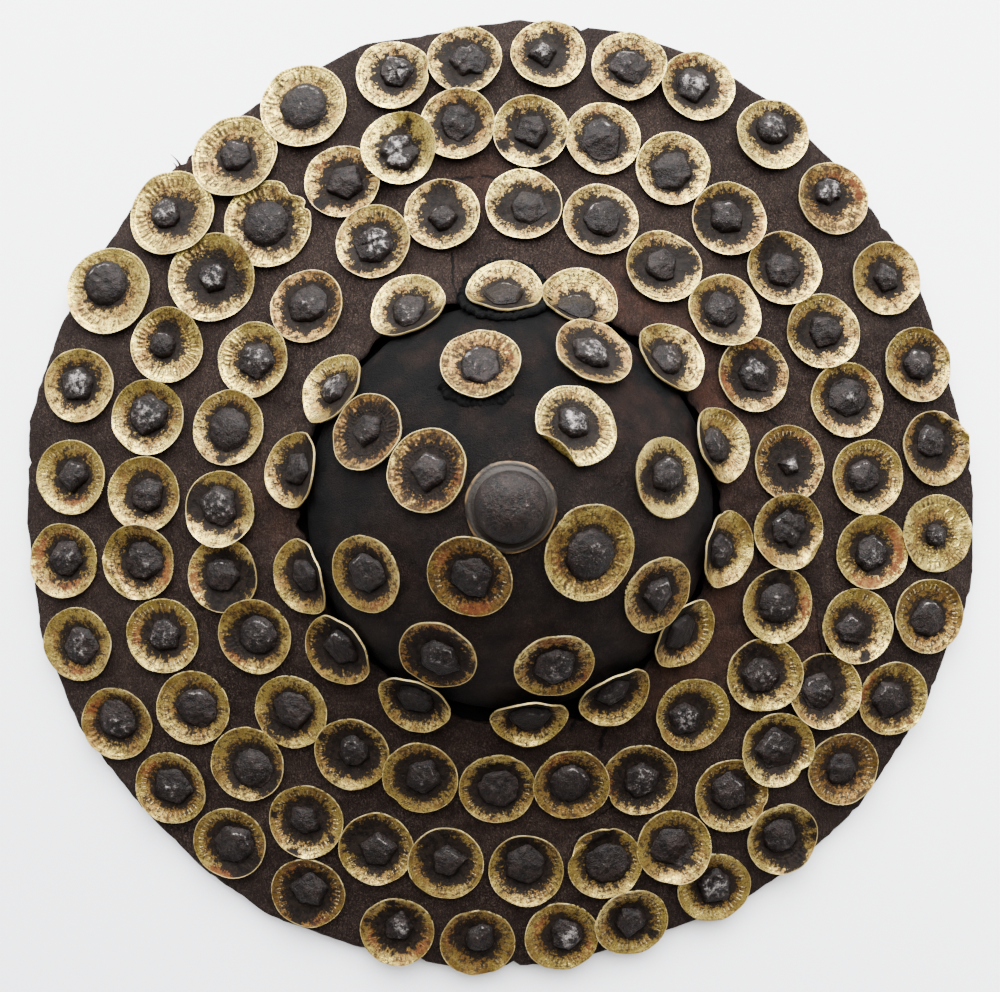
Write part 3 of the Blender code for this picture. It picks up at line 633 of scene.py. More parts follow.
def leather_boss(surface):
    """The boss: a dome with its foot sunk in the face's hole, a hidden flange and a plainer hollow."""
    turns = BOSS_TURNS
    _, circle = around(turns)
    under_face = BOSS_SEAT - FACE_THICK - GAP
    under_flange = under_face - BOSS_THICK
    inner_foot = BOSS_FOOT - BOSS_THICK
    arc = np.linspace(0, 1, DOME_ROWS + 1)[1:]
    dome = BOSS_FOOT * (arc + .16 * arc * (1 - arc))
    profile = [(radius, BOSS_SEAT + boss_rise(radius), OUTER) for radius in dome]
    profile += [(BOSS_FOOT + .2 * fall / 5, BOSS_SEAT - fall, OUTER) for fall in (.8, 1.8, 3.0, 4.2)]
    profile += [(radius, under_face, OUTER) for radius in (BOSS_FOOT + .3, 63, 67, 71, 75, FLANGE_OUTER - .5)]
    profile += [(FLANGE_OUTER, under_face - .6, CUT), (FLANGE_OUTER, under_flange + .6, CUT)]
    inwards = (FLANGE_OUTER - .6, 74, 69, 64, 60, inner_foot + .4)
    profile += [(radius, under_flange, HIDDEN) for radius in inwards]
    profile += [(inner_foot, under_flange + .5, HIDDEN), (inner_foot, BOSS_SEAT - 1.5, HIDDEN)]
    for radius in np.linspace(55.8, 1.5, HOLLOW_ROWS):
        slope = math.atan((boss_rise(radius - .4) - boss_rise(radius + .4)) / .8)
        profile.append((
            max(radius - BOSS_THICK * math.sin(slope), .6) if radius > 3 else radius,
            BOSS_SEAT + boss_rise(radius) - BOSS_THICK * math.cos(slope), HIDDEN,
        ))
    rows = []
    for radius, height, _ in profile:
        place = BOSS_AT + radius * circle
        z = np.full(turns, height)
        if radius > BOSS_FOOT + .4:
            z = np.minimum(z + face_height(place[:, 0], place[:, 1]) - BOSS_SEAT, height)
        rows.append(np.column_stack((place, z)))
    points = np.concatenate(rows + [[(*BOSS_AT, profile[0][1] + .05), (*BOSS_AT, profile[-1][1])]])
    kind = np.append(np.repeat([row[2] for row in profile], turns), (OUTER, HIDDEN))
    x, y, z = points.T
    reach = from_boss(x, y)
    outer = (kind == OUTER) & (z > BOSS_SEAT)
    free = clear_of_studs(x, y, ON_DOME, 8, 13) * smoothstep(12, 18, reach)
    away = (points[:, :2] - BOSS_AT) / np.maximum(reach, 1)[:, None]
    swell = ripples(points, (.38, 24, 31), (.2, 8, 32), (.08, 3, 33))
    swell = np.where(outer, swell * free, np.where(kind == HIDDEN, .12 * ripple(points, 16, 34), 0))
    steep = smoothstep(30, 58, reach)
    points[:, 2] += swell * (1 - .75 * steep)
    points[:, :2] += away * (swell * steep * np.where(outer, 1, 0))[:, None]
    # Blackened leather and painted shade: darkest round the dome's foot and over the flange in the hollow,
    # and darker towards the top left of the picture
    sooty_and_shaded = np.clip(.5 + .5 * smoothstep(50, 60, reach) + .5 * smoothstep(-14, 30, y - .4 * x), 0, 1.15)
    values = leather_values(kind, np.where(outer, rubbed(x, y), 0), np.where(kind == OUTER, sooty_and_shaded, 0))
    faces = skin(len(profile), turns)
    piece("leather_boss", points, faces, surface, ["boss_leather"], values=values)


# ---------------------------------------------------------------- discs

class Disc:
    """One brass disc in its own frame: its outline, its shape, and what has happened to it."""

    def __init__(self, ring, index, bearing, point, size):
        self.ring, self.index, self.bearing, self.point, self.size = ring, index, bearing, point, size
        self.seed = 1000 * (1 + list(RINGS).index(ring)) + index
        dice = self.dice = random.Random(self.seed)

        def settled(value, low, high):
            return dice.uniform(low, high) if value is ANY else value

        look = LOOKS[ring][index]
        self.look = look._replace(
            nail=settled(look.nail, 5.7, 6.6), shine=settled(look.shine, .1, .6),
            at=look.at or (dice.uniform(0, 360), dice.uniform(0, 1.0)), stain=settled(look.stain, .6, .74),
            patina=settled(look.patina, .2, .5), tone=settled(look.tone, -.1, .2),
            dish=settled(look.dish, 1.35, 2.0),
        )
        self.well = dice.uniform(.36, .46)
        self.curl = dice.uniform(1.25, 1.8)
        self.bend = (dice.uniform(.15, .6), dice.uniform(0, math.pi))
        self.tilt = (dice.uniform(0, .3), dice.uniform(0, math.tau))
        self.waves = [(k, dice.uniform(.04, .17), dice.uniform(0, math.tau)) for k in (3, 5, 7, 9)]
        self.outs = [
            (k, dice.uniform(.1, 1) / k**1.1 * .028, dice.uniform(0, math.tau)) for k in (2, 3, 4, 5, 7)
        ]
        self.ramps = []
        self.curve = DOME_CURVE if ring in ON_DOME else 0.0
        self.wall = FOOT_WALLS.get(index, CREASE_WALL) if ring == "foot" else None
        self.slip = FOOT_SLIPS.get(index, 0.0)
        self.fine = self.look.relief in DISC_TURNS
        if ring == "foot":
            place = BOSS_AT + (FACE_INNER + CREASE_OUT) * unit(bearing)
            height = float(face_height(*place)) + CREASE_RISE
            self.frame = Matrix.Translation((*place, height)) @ Matrix.Rotation(bearing, 4, "Z")
        else:
            surface, lift = (boss_height, GAP) if ring in ON_DOME else (face_height, 0.1)
            self.frame = frame_on(surface, point) @ Matrix.Translation((0, 0, lift))

    def edge(self, angle):
        """The outline's radius at angles."""
        shape = np.ones(np.shape(angle))
        for k, amount, phase in self.outs:
            shape = shape + amount * np.sin(k * angle + phase)
        radius = self.size * np.minimum(shape, 1.012)
        for at, half, depth in self.look.dents:
            radius = radius - depth * hump(angle, at, half)
        return radius

    def top(self, x, y):
        """Height of the upper side at points of the flat disc."""
        angle, reach = np.arctan2(y, x), np.hypot(x, y)
        u = reach / self.edge(angle)
        z = SHEET + self.look.dish * np.clip((u - self.well) / (1 - self.well), 0, None) ** self.curl
        bend, turn = self.bend
        tilt, towards = self.tilt
        far = np.clip(u - .3, 0, None) / .7
        z = z + far * (bend * u * np.cos(2 * (angle - turn)) + tilt * np.cos(angle - towards))
        for k, amount, phase in self.waves:
            z = z + amount * far**3 * np.sin(k * angle + phase)
        for at, distance, height in self.look.creases:
            across = x * math.cos(math.radians(at)) + y * math.sin(math.radians(at)) - distance
            z = z + height * groove(across, .75) * far
        for direction, lift in self.ramps:
            along = (x * math.cos(direction) + y * math.sin(direction)) / self.size
            z = z + lift * np.clip((along - .25) / .75, 0, None) ** 1.4
        return np.maximum(z - self.curve * reach**2 * .5, SHEET - self.curve * reach**2 * .5)

    def settle(self, lower):
        """Bends this disc up where it lies over another."""
        turn = np.array(lower.frame.inverted() @ self.frame)
        towards = lower.frame.to_translation() - self.frame.to_translation()
        local = self.frame.to_3x3().inverted() @ towards
        self.ramps.append([math.atan2(local.y, local.x), 0.0])
        angle, circle = around(96)
        for _ in range(5):
            worst = 0.0
            for share in (.55, .7, .85, 1.0):
                x, y = (self.edge(angle) * share)[None, :] * circle.T
                there = turn @ np.stack((x, y, self.top(x, y) - SHEET, np.ones(96)))
                inside = np.hypot(there[0], there[1]) <= lower.edge(np.arctan2(there[1], there[0])) + .15
                depth = lower.top(there[0], there[1]) + LAP_CLEAR - there[2]
                if inside.any():
                    worst = max(worst, float(depth[inside].max()))
            self.ramps[-1][1] += worst * 1.15
            if worst < .02:
                break

    def stains(self, x, y, u, angle):
        """The dark stain and the rust at points of the flat disc, for the brass material."""
        look = self.look
        extent = np.full(np.shape(x), look.stain)
        for at, more in look.run:
            extent += more * hump(angle, at, 34)
        off, distance = look.at
        cx, cy = distance * unit(math.radians(off)) * .6
        shifted = np.hypot(x - cx, y - cy) / self.size
        stain = (extent - np.maximum(shifted, .5 * u + .5 * shifted)) / .16
        for at, share, radius in look.blots:
            bx, by = share * self.size * unit(math.radians(at))
            stain = np.maximum(stain, (radius - np.hypot(x - bx, y - by)) / .9)
        if self.ring == "foot":
            stain = stain + 2.4 * smoothstep(-3, -8.5, x)
        rust = np.zeros(np.shape(x))
        for at, share, strength in look.rust:
            near = (turned_apart(angle, math.radians(at)) / math.radians(42)) ** 2 + ((u - share) / .2) ** 2
            rust = np.maximum(rust, strength * np.exp(-near))
        return stain, rust


def strokes(seed, cells):
    """Each stroke of a stamped row: its place across its cell, and its two ends, as shares of the cell."""
    dice = random.Random(seed)
    # The last span lies out of reach and leaves a gap in the row
    spans = ((-.38, .38), (-.55, .55), (-.5, .1), (-.1, .5), (-.2, .25), (-.45, .45), (9, 9.02))
    made = []
    for _ in range(cells):
        low, high = dice.choice(spans)
        made.append((dice.uniform(-.06, .06), low, high))
    return np.array(made, float)


def stamped(disc, u, angle):
    """The stamped relief at points of a disc, 0 to 1, and the band darkened round it: dirt settled between
    the beads and strokes, and a painted shadow along one side of each stroke.
    """
    size = disc.size
    angle = angle + disc.seed * .7
    relief, band = np.zeros(u.shape), np.zeros(u.shape)

    def ridge(at, width, height):
        np.maximum(relief, height * groove((u - at) * size, width), out=relief)

    def beads(at, count, radius):
        across = (u - at) * size
        along = ((angle * count / math.tau + .5) % 1 - .5) * math.tau / count * at * size
        np.maximum(relief, np.sqrt(np.clip(1 - (across**2 + along**2) / radius**2, 0, 1)), out=relief)
        np.maximum(band, .8 * groove(across, radius * 1.5), out=band)

    def row(at, tall, cells, height, width):
        place = (angle * cells / math.tau) % cells
        cell = np.minimum(place.astype(int), cells - 1)
        wide = math.tau / cells * at * size
        p = (place - cell - .5) * wide
        q = (u - at) * size
        middle, low, high = (strokes(disc.seed + cells, cells)[cell] * np.array((wide, tall, tall))).T
        long = high - low

        def away(shift):
            t = np.clip((q - low) * long / np.maximum(long * long, 1e-6), 0, 1)
            return np.minimum(9.0, np.hypot(p - middle - shift, q - low - t * long))

        np.maximum(relief, height * smoothstep(width * 1.6, width * .6, away(0.0)), out=relief)
        # Painted shadow along one side of each stroke
        np.maximum(band, smoothstep(width * 2.2, width * 1.3, away(2.1 * width)), out=band)
        np.maximum(band, .5 * np.exp(-((q / (tall * .5)) ** 4)), out=band)

    if disc.look.relief == "coin":
        beads(.58, 44, .36)
        row(.76, 2.4, 40, 1.0, .27)
        ridge(.9, .22, .45)
        row(.955, .7, 84, .5, .12)
    elif disc.look.relief == "beads":
        beads(.6, 40, .36)
        row(.77, 1.9, 36, .9, .25)
        ridge(.9, .25, .5)
    else:
        beads(.5, 34, .3)
        beads(.72, 44, .32)
        row(.86, 1.7, 36, .9, .25)
        for k in range(5):
            at = math.tau * k / 5
            px = u * size * np.cos(angle - at) - .6 * size
            ring = np.abs(np.hypot(px, u * size * np.sin(angle - at)) - 1.5)
            np.maximum(relief, .9 * smoothstep(.4, .1, ring) * (px > -.9), out=relief)
    worn = .55 + .45 * ripple(np.stack((u * size * np.cos(angle), u * size * np.sin(angle)), 1), 7, disc.seed)
    worn = smoothstep(.0, .45, worn)
    return relief * worn, band * worn


def folded(disc, shaped, x, y, thick):
    """Rolls the part of a disc past a chord up and over."""
    at, distance, turn = disc.look.fold
    tight = 1.2
    towards, turn = unit(math.radians(at)), math.radians(turn)
    past = np.clip(x * towards[0] + y * towards[1] - distance, 0, None)
    roll = np.minimum(past / tight, turn)
    beyond = np.clip(past - tight * turn, 0, None)
    out = tight * np.sin(roll) + beyond * math.cos(turn) - past
    up = tight * (1 - np.cos(roll)) + beyond * math.sin(turn)
    shaped[:, :2] += (out - thick * np.sin(roll))[:, None] * towards
    shaped[:, 2] += np.where(past > 0, up - thick * (1 - np.cos(roll)), 0)


def make_disc(disc, surface, name, nodes):
    """The brass disc as a closed sheet, with its fold or its bend over the crease."""
    look = disc.look
    turns, relief_rows = DISC_TURNS.get(look.relief, PLAIN_DISC)
    angle, circle = around(turns)
    edge = disc.edge(angle)
    if relief_rows:
        shares = [.2, .36, .44, *np.linspace(.49, .965, relief_rows), .985, 1.0]
    else:
        shares = [.2, .38, .5, .6, .68, .75, .81, .87, .92, .96, .985, 1.0]
    sides = np.repeat([0] * len(shares) + [1] + [2] * 5, turns)
    shares += [1.004, 1.0, .93, .8, .62, .36]
    x, y = (np.concatenate([edge * share * part for share in shares] + [[0, 0]]) for part in circle.T)
    side = np.append(sides, (0, 2))
    bearing = np.arctan2(y, x)
    u = np.hypot(x, y) / disc.edge(bearing)
    top = plain_top = disc.top(x, y)
    dirt = 0.0
    if disc.fine:
        raised, band = stamped(disc, np.clip(u, 0, 1), bearing)
        top = top + np.where(side == 0, raised * STAMP_DEPTH, 0)
        dirt = np.clip(band - raised * 1.3, 0, 1)
    z = top - SHEET * np.array((0, .5, 1))[side]
    z = z - np.where((side == 0) & (u > .992), SHEET * .12, 0)
    flat = np.column_stack((x, y, z))
    shaped = flat.copy()
    if look.fold:
        folded(disc, shaped, x, y, z - plain_top)
    stain, rust = disc.stains(x, y, u, bearing)
    values = {
        "flat": flat, "share": u, "stain": stain, "rust": rust, "dirt": dirt,
        "patina": look.patina, "tone": look.tone, "seed": disc.seed * 7.31 % 97,
        "ringed": 1.0 if look.relief == "rings" else .3 + .7 * (disc.seed * .618 % 1),
        "curled": 1.0 if look.relief == "arcs" else .0,
        "legend": 0.0 if disc.fine or look.tone >= 1 else disc.dice.uniform(.2, 1.0),
    }
    shaped = bent_over_crease(shaped, disc)
    piece(name, shaped, skin(len(shares), turns), surface, nodes, disc.frame, values, sharp=50)


# ---------------------------------------------------------------- nails

FOOT_OFF = 2.4  # how far a foot stud's nail may stand off its disc's middle
# By kind of head: its sides, its facets, and how full its dome is. Chance decides what is None.
HEADS = {"round": (9, 0, 2.2), "peak": (4, 4, 1.15), "cross": (6, 4, 2.6), "twin": (6, None, 2.6)}
ANY_HEAD = (None, None, 2.6)


def soft_least(a, b, sharpness):
    return -np.log(np.exp(-a * sharpness) + np.exp(-b * sharpness)) / sharpness


def head_outline(disc, angle):
    """The hammered head's radius at angles: a worn polygon."""
    dice = random.Random(disc.seed + 5)
    kind = disc.look.kind
    some = dice.choice((5, 6, 6, 7))
    sides = HEADS.get(kind, ANY_HEAD)[0] or some
    start = dice.uniform(0, math.tau)
    radius = np.full(np.shape(angle), 9.0)
    for k in range(sides):
        at = start + math.tau * (k + dice.uniform(-.2, .2)) / sides
        reach = dice.uniform(.94 if kind == "round" else .84, 1.0)
        turn = turned_apart(angle, at)
        radius = soft_least(radius, reach / np.maximum(np.cos(np.minimum(turn, 1.45)), .12), 16)
    if kind == "twin":
        radius = radius * (1 - .2 * groove(turned_apart(2 * angle, 2 * start), .5))
    return disc.look.nail * radius / radius.max() * (1 + .02 * np.sin(11 * angle + start))


def make_nail(disc, surface, name, nodes, depth, clench):
    """A forged nail: a faceted head on the disc, a shank through the leather, a point bent over behind."""
    look, kind = disc.look, disc.look.kind
    dice = random.Random(disc.seed + 9)
    turns = NAIL_TURNS
    angle, circle = around(turns)
    outline = head_outline(disc, angle)
    off, distance = look.at
    if disc.ring == "foot":
        distance = min(distance, FOOT_OFF)
    middle = distance * unit(math.radians(off))
    tall = NAIL_HEIGHT * dice.uniform(.84, 1.0) * {"round": .95, "peak": 1.1}.get(kind, 1)
    tall = min(tall, NAIL_HEIGHT * 1.04)
    shares = [1.0, 1.03, 1.0, .955, .9, .84, .77, .69, .6, .51, .41, .31, .21, .11]
    x, y = (np.concatenate([outline * share * part for share in shares] + [[0]]) for part in circle.T)
    row = np.append(np.repeat(np.arange(len(shares)), turns), len(shares))
    bearing = np.arctan2(y, x)
    u = np.hypot(x, y) / head_outline(disc, bearing)
    _, facets, fullness = HEADS.get(kind, ANY_HEAD)
    cap = tall * (.22 + .78 * (1 - np.clip(u, 0, 1) ** fullness) ** .62)
    some = dice.choice((3, 4, 5))
    facets = some if facets is None else facets
    facet = np.full(len(x), .4)
    for k in range(facets):
        at = math.tau * (k + dice.uniform(-.3, .3)) / facets + look.nail
        slope = dice.uniform(.55, .75) if kind == "peak" else dice.uniform(.16, .42)
        level = tall * (1.25 if kind == "peak" else dice.uniform(.9, 1.12))
        plane = level - slope * (x * math.cos(at) + y * math.sin(at))
        facet = np.where(plane < cap, dice.uniform(0, 1), facet)
        cap = soft_least(cap, plane, 9)
    if kind == "cross":
        for at in (.2, .2 + math.pi / 2):
            cap = cap - .5 * groove(x * math.sin(at) - y * math.cos(at), .33) * (u < .92)
    if kind == "twin":
        at = random.Random(disc.seed + 5).uniform(0, math.tau) + math.pi / 2
        cap = cap - .7 * groove(x * math.sin(at) - y * math.cos(at), 1.0)
    rough = ripples(np.column_stack((x, y)), (.12, 3.4, disc.seed), (.07, 1.5, disc.seed + 1))
    cap = np.maximum(cap + rough * smoothstep(1.02, .8, u), .2)
    cap = np.minimum(cap, NAIL_HEIGHT * 1.1)
    px, py = x + middle[0], y + middle[1]
    seat = disc.top(px, py)
    over = np.maximum(np.maximum(seat, SHEET) * .3 + SHEET * .7 + cap, seat + .45)
    flat = np.column_stack((px, py, np.select((row == 0, row == 1), (seat - .08, seat + .38), over)))
    crest_and_glint = smoothstep(.35, .95, cap / cap.max()) * look.shine
    # Painted highlight: a bright line along the head's rim, on its side towards the top of the picture
    if dice.random() < .55 and kind != "peak":  # a rim that catches the light
        up = math.pi / 2 - (disc.bearing if disc.ring == "foot" else 0) + dice.uniform(-.8, .6)
        arc = smoothstep(dice.uniform(.7, 1.5), .4, turned_apart(bearing, up))
        crest_and_glint = np.maximum(crest_and_glint, groove(u - dice.uniform(.72, .88), .06) * arc)

    shank, shank_faces = make_shank(disc, middle, depth, clench)
    base = len(flat)
    faces = grid_faces(len(shares), turns) + fan(base - 1 - turns, turns, base - 1)
    faces += [tuple(range(turns))[::-1]]
    faces += [tuple(base + i for i in face) for face in shank_faces]
    none = np.zeros(len(shank))
    values = {
        "flat": np.concatenate((flat, shank)), "crest_and_glint": np.concatenate((crest_and_glint, none)),
        "facet": np.concatenate((facet, none)), "seed": disc.seed * 6.13 % 89,
    }
    points = np.concatenate((bent_over_crease(flat, disc), shank))
    piece(name, points, faces, surface, nodes, disc.frame, values, sharp=58)


def tube(rows, sides):
    """Faces of an open row of rings of a few points, closed by a flat end at each."""
    faces = [
        (r + k, r + (k + 1) % sides, r + sides + (k + 1) % sides, r + sides + k)
        for r in range(0, (rows - 1) * sides, sides) for k in range(sides)
    ]
    last = sides * (rows - 1)
    return faces + [tuple(range(sides))[::-1], tuple(range(last, last + sides))]


def make_shank(disc, middle, depth, clench):
    """The square shank under a head, bent over and hammered flat against the back."""
    half, bend = 1.5, 2.0
    if disc.ring == "foot":
        middle = (0.0, 0.0)
    # Points on the shank's axis, its direction there, its half width and half thickness
    start = -.6 if disc.ring == "foot" else .3
    path = [((0, start), (0, -1), half, half), ((0, -depth), (0, -1), half, half)]
    for turn in (30, 60, 90):
        a = math.radians(turn)
        place = (bend * (1 - math.cos(a)), -depth - bend * math.sin(a) * .6)
        path.append((place, (math.sin(a), -math.cos(a)), half * .95, half * .8))
    for along, wide, thin in ((4.5, 1.6, .85), (7.5, 1.4, .7), (10.0, .8, .5), (11.6, .2, .2)):
        path.append(((bend + along, -depth - bend * .6), (1, 0), wide, thin))
    c, s = math.cos(clench), math.sin(clench)
    points = []
    for (px, pz), (dx, dz), wide, thin in path:
        for across, up in ((-wide, -thin), (wide, -thin), (wide, thin), (-wide, thin)):
            lx = px - dz * up
            points.append((middle[0] + c * lx - s * across, middle[1] + s * lx + c * across, pz + dx * up))
    points, faces = np.array(points), tube(len(path), 4)
    if volume(points, faces) < 0:
        faces = [f[::-1] for f in faces]
    return points, faces


# ---------------------------------------------------------------- centre, grip and small things

def turned_piece(name, profile, turns, surface, nodes, shape, values=None, sharp=None):
    """A profile turned about the boss's axis, whose first and last points lie on the axis."""
    _, circle = around(turns)
    rows = [np.column_stack((r * circle, np.full(turns, z))) for r, z in profile[1:-1]]
    points = shape(np.concatenate(rows + [[(0, 0, profile[0][1]), (0, 0, profile[-1][1])]]))
    made = {"flat": points.copy(), "seed": 7.0}
    for label, rule in (values or {}).items():
        made[label] = rule(points)
    place = Matrix.Translation((*BOSS_AT, 0))
    piece(name, points, skin(len(rows), turns), surface, nodes, place, made, sharp)


def centre(bronze, iron):
    """The washer that follows the dome's top and the smooth, pitted knob on it."""
    def under(r):
        return BOSS_SEAT + boss_rise(r) + GAP

    profile = [(0, under(0) + WASHER_THICK)]
    for r in (3, 6, 9, 9.8, 10.4, 10.9, 11.4, 11.8, 12.1, 12.4, 12.7, 12.9):
        turned = -.22 * groove(r - 11.4, .35) + .1 * groove(r - 12.4, .5)
        profile.append((r, under(r) + WASHER_THICK * (1 - .3 * (r / 13) ** 6) + turned))
    profile += [(WASHER_RADIUS, under(WASHER_RADIUS) + .4)] + [(r, under(r)) for r in (12.9, 9, 4, 0)]

    def uneven(points):
        angle = np.arctan2(points[:, 1], points[:, 0])
        reach = np.hypot(points[:, 0], points[:, 1])
        waves = .012 * np.sin(3 * angle + 1) + .008 * np.sin(7 * angle)
        points[:, :2] *= (1 + np.where(reach > 8, waves, 0))[:, None]
        points[:, 2] += .14 * np.sin(2 * angle + .4) * smoothstep(9, 13, reach)
        return points

    name, nodes = "centre_washer_dressed", ["centre_washer"]
    turned_piece(name, profile, WASHER_TURNS, bronze, nodes, uneven, sharp=50)

    base = BOSS_SEAT + BOSS_STATIONS[0][1] + GAP + WASHER_THICK + GAP - .25
    steps = 26
    profile = [(0, base + KNOB_HEIGHT)]
    for k in range(1, steps + 1):
        a = math.pi / 2 * k / steps
        profile.append((KNOB_RADIUS * math.sin(a) ** .96, base + KNOB_HEIGHT * max(math.cos(a), 0.0) ** .93))
    profile += [(KNOB_RADIUS - .3, base - .9), (6, base - .2), (0, base - .2)]

    def pitted(points):
        angle = np.arctan2(points[:, 1], points[:, 0])
        reach = np.hypot(points[:, 0], points[:, 1])
        pits = ripples(points, (.12, 4.5, 71), (.05, 1.5, 72))
        points[:, 2] += np.where(points[:, 2] > base + .2, pits, 0)
        points[:, :2] *= (1 + np.where(reach > 5, .008 * np.sin(3 * angle), 0))[:, None]
        return points

    values = {
        # Painted highlight: a soft bright spot on the knob, a little off its top towards the top right of the
        # picture
        "crest_and_glint": lambda p: .42 * np.exp(-((p[:, 0] - 2.5) ** 2 + (p[:, 1] - 2.2) ** 2) / 16),
        "facet": lambda p: .5,
    }
    turned_piece("centre_knob", profile, KNOB_TURNS, iron, ["centre_nail"], pitted, values, 60)


def grip_centre(x, half_height):
    """Height of the grip's centre line: level across the hollow, and against the flange past GRIP_BARE."""
    if abs(x) < GRIP_BARE:
        return GRIP_CENTRE
    inner = BOSS_FOOT - BOSS_THICK
    fall = BOSS_SEAT - float(face_height(*(BOSS_AT + math.copysign(FLANGE_OUTER, x) * unit(GRIP_BEARING))))
    share = max(abs(x) - inner, 0.0) / (FLANGE_OUTER - inner)
    return BOSS_SEAT - FACE_THICK - GAP - BOSS_THICK - share * fall - GAP - half_height


def hand_grip(surface):
    """The grip: flat pads under the flange, a rounded handle between."""
    half = [(x, w, h, grip_centre(x, h)) for x, w, h in GRIP_STATIONS]
    other = [(-x, w, h, grip_centre(-x, h)) for x, w, h in GRIP_STATIONS[:0:-1]]
    stations = np.array(other + half)
    _, circle = around(GRIP_TURNS, .5)
    rows = []
    for x in np.linspace(stations[0, 0], stations[-1, 0], GRIP_ROWS):
        k = int(np.clip(np.searchsorted(stations[:, 0], x) - 1, 0, len(stations) - 2))
        t = (x - stations[k, 0]) / (stations[k + 1, 0] - stations[k, 0])
        wide, tall, level = stations[k, 1:] + t * (stations[k + 1, 1:] - stations[k, 1:])
        square = 1 - .32 * smoothstep(40, 58, abs(x))
        y, z = (np.sign(circle) * np.abs(circle) ** square * (wide, tall * .96)).T
        rows.append(np.column_stack((np.full(GRIP_TURNS, x), y, level + z)))
    points = np.concatenate(rows)
    points[:, 1] += .25 * ripple(points, 30, 81)
    points = np.concatenate((points, [(end[0], 0, end[3]) for end in (stations[0], stations[-1])]))
    place = Matrix.Translation((*BOSS_AT, 0)) @ Matrix.Rotation(GRIP_BEARING, 4, "Z")
    faces = skin(GRIP_ROWS, GRIP_TURNS)
    piece("hand_grip_dressed", points, faces, surface, ["hand_grip"], place, sharp=55)


# Across a strip: shares of its half width and half thickness
STRIP_SECTION = ((-1, -.4), (-.6, -1), (.6, -1), (1, -.4), (1, .4), (.5, 1), (-.5, 1), (-1, .4))


def strip(name, path, surface, values):
    """A tapering strip of torn leather along points of (x, y, z, half width, half thickness)."""
    points = []
    path = np.array(path, float)
    for k, (*middle, wide, thin) in enumerate(path):
        along = path[min(k + 1, len(path) - 1), :3] - path[max(k - 1, 0), :3]
        along /= np.linalg.norm(along)
        across = np.cross(along, (0, 0, 1.0))
        across /= np.linalg.norm(across)
        up = np.cross(across, along)
        for a, b in STRIP_SECTION:
            points.append(middle + a * wide * across + b * thin * up)
    faces = tube(len(path), len(STRIP_SECTION))
    piece(name, points, faces, surface, ["face_leather"], values=values, sharp=60)


def small_things(leather):
    """The lifted sliver and the fibres at the rim."""
    path = []
    for t in np.arange(15) / 14:
        x, y = 96.8 + 3.6 * t + .8 * math.sin(3 * t), -24.5 - 26.0 * t
        lift = .3 + 2.0 * t**2.2
        path.append((x, y, float(face_height(x, y)) + lift, 2.0 * (1 - t) ** .7 + .22, .75 - .45 * t))
    strip("leather_sliver", path, leather, {"cut": .0, "plain": .0, "rub": .1, "soot": .3})
    for n, ((x, y), (end_x, end_y), rise) in enumerate((
        ((-101.2, 104.4), (-104.2, 108.0), 1.4), ((-102.6, 103.6), (-103.6, 105.6), .5),
    )):
        path = [(
            x + t * (end_x - x) + .5 * math.sin(3 * t), y + t * (end_y - y), 4.6 + rise * t,
            .4 * (1 - t) + .07, .3 * (1 - t) + .06,
        ) for t in np.arange(7) / 6]
        strip(f"rim_fibre_{n + 1}", path, leather, {"cut": .5, "plain": .0, "rub": 1.2, "soot": 0})


# A collar from under its disc outwards and back: the share of its reach, and the height
COLLAR_PROFILE = (
    (.3, .1), (.66, .2), (.8, .75), (.9, 1.25), (.96, 1.1), (1.0, .5), (1.01, -.3), (.97, -.9), (.5, -.9),
)
COLLAR_LEAST = 9.5  # its reach where it has gone: out of sight under the disc


def rawhide(disc, leather, name, axes, arc, nodes):
    """A black, crusty collar left round a disc.

    axes are its half widths outwards, across and inwards, and arc is the bearings that it lies between.
    """
    start, end = (math.radians(a) for a in arc)
    angle, circle = around(COLLAR_TURNS)
    outwards, across, inwards = axes
    long_axis = np.where(circle[:, 0] > 0, outwards, inwards)
    reach = 1 / np.sqrt((circle[:, 0] / long_axis) ** 2 + (circle[:, 1] / across) ** 2)
    seed = disc.seed + 40
    reach = reach + .45 * ripple(circle, .25, seed) + .22 * ripple(circle, .08, seed + 1)
    if arc != (0, 360):
        inside = smoothstep(0, .35, np.minimum((angle - start) % math.tau, (end - angle) % math.tau))
        inside = np.where((angle - start) % math.tau < (end - start) % math.tau, inside, 0)
        reach = COLLAR_LEAST + (reach - COLLAR_LEAST) * inside
    crust = ripples(circle, (.3, .12, seed + 2), (.15, .05, seed + 3))
    rows = []
    for share, height in COLLAR_PROFILE:
        ragged = 1 + .012 * ripple(circle * share, .07, int(share * 100))
        plan = (reach * share * ragged)[:, None] * circle
        rows.append(np.column_stack((plan, height + (height > .3) * crust)))
    points = np.concatenate(rows + [[(0, 0, .1), (0, 0, -.9)]])
    points[:, 2] -= .25
    points[:, 2] -= disc.curve * (points[:, 0] ** 2 + points[:, 1] ** 2) * .9
    points = bent_over_crease(points, disc)
    values = {"cut": 0.0, "plain": 0.0, "rub": 0.0, "soot": 1.6}
    faces = skin(len(rows), COLLAR_TURNS)
    piece(name, points, faces, leather, nodes, disc.frame, values, sharp=70)


# ---------------------------------------------------------------- materials

class Field:
    """A shader node's output, on which arithmetic makes further nodes."""

    def __init__(self, nodes, socket):
        self.nodes, self.socket = nodes, socket

    def __add__(self, other):
        return self.nodes.math("ADD", self, other)

    def __sub__(self, other):
        return self.nodes.math("SUBTRACT", self, other)

    def __rsub__(self, other):
        return self.nodes.math("SUBTRACT", other, self)

    def __mul__(self, other):
        return self.nodes.math("MULTIPLY", self, other)

    def __truediv__(self, other):
        return self.nodes.math("DIVIDE", self, other)

    __radd__, __rmul__ = __add__, __mul__


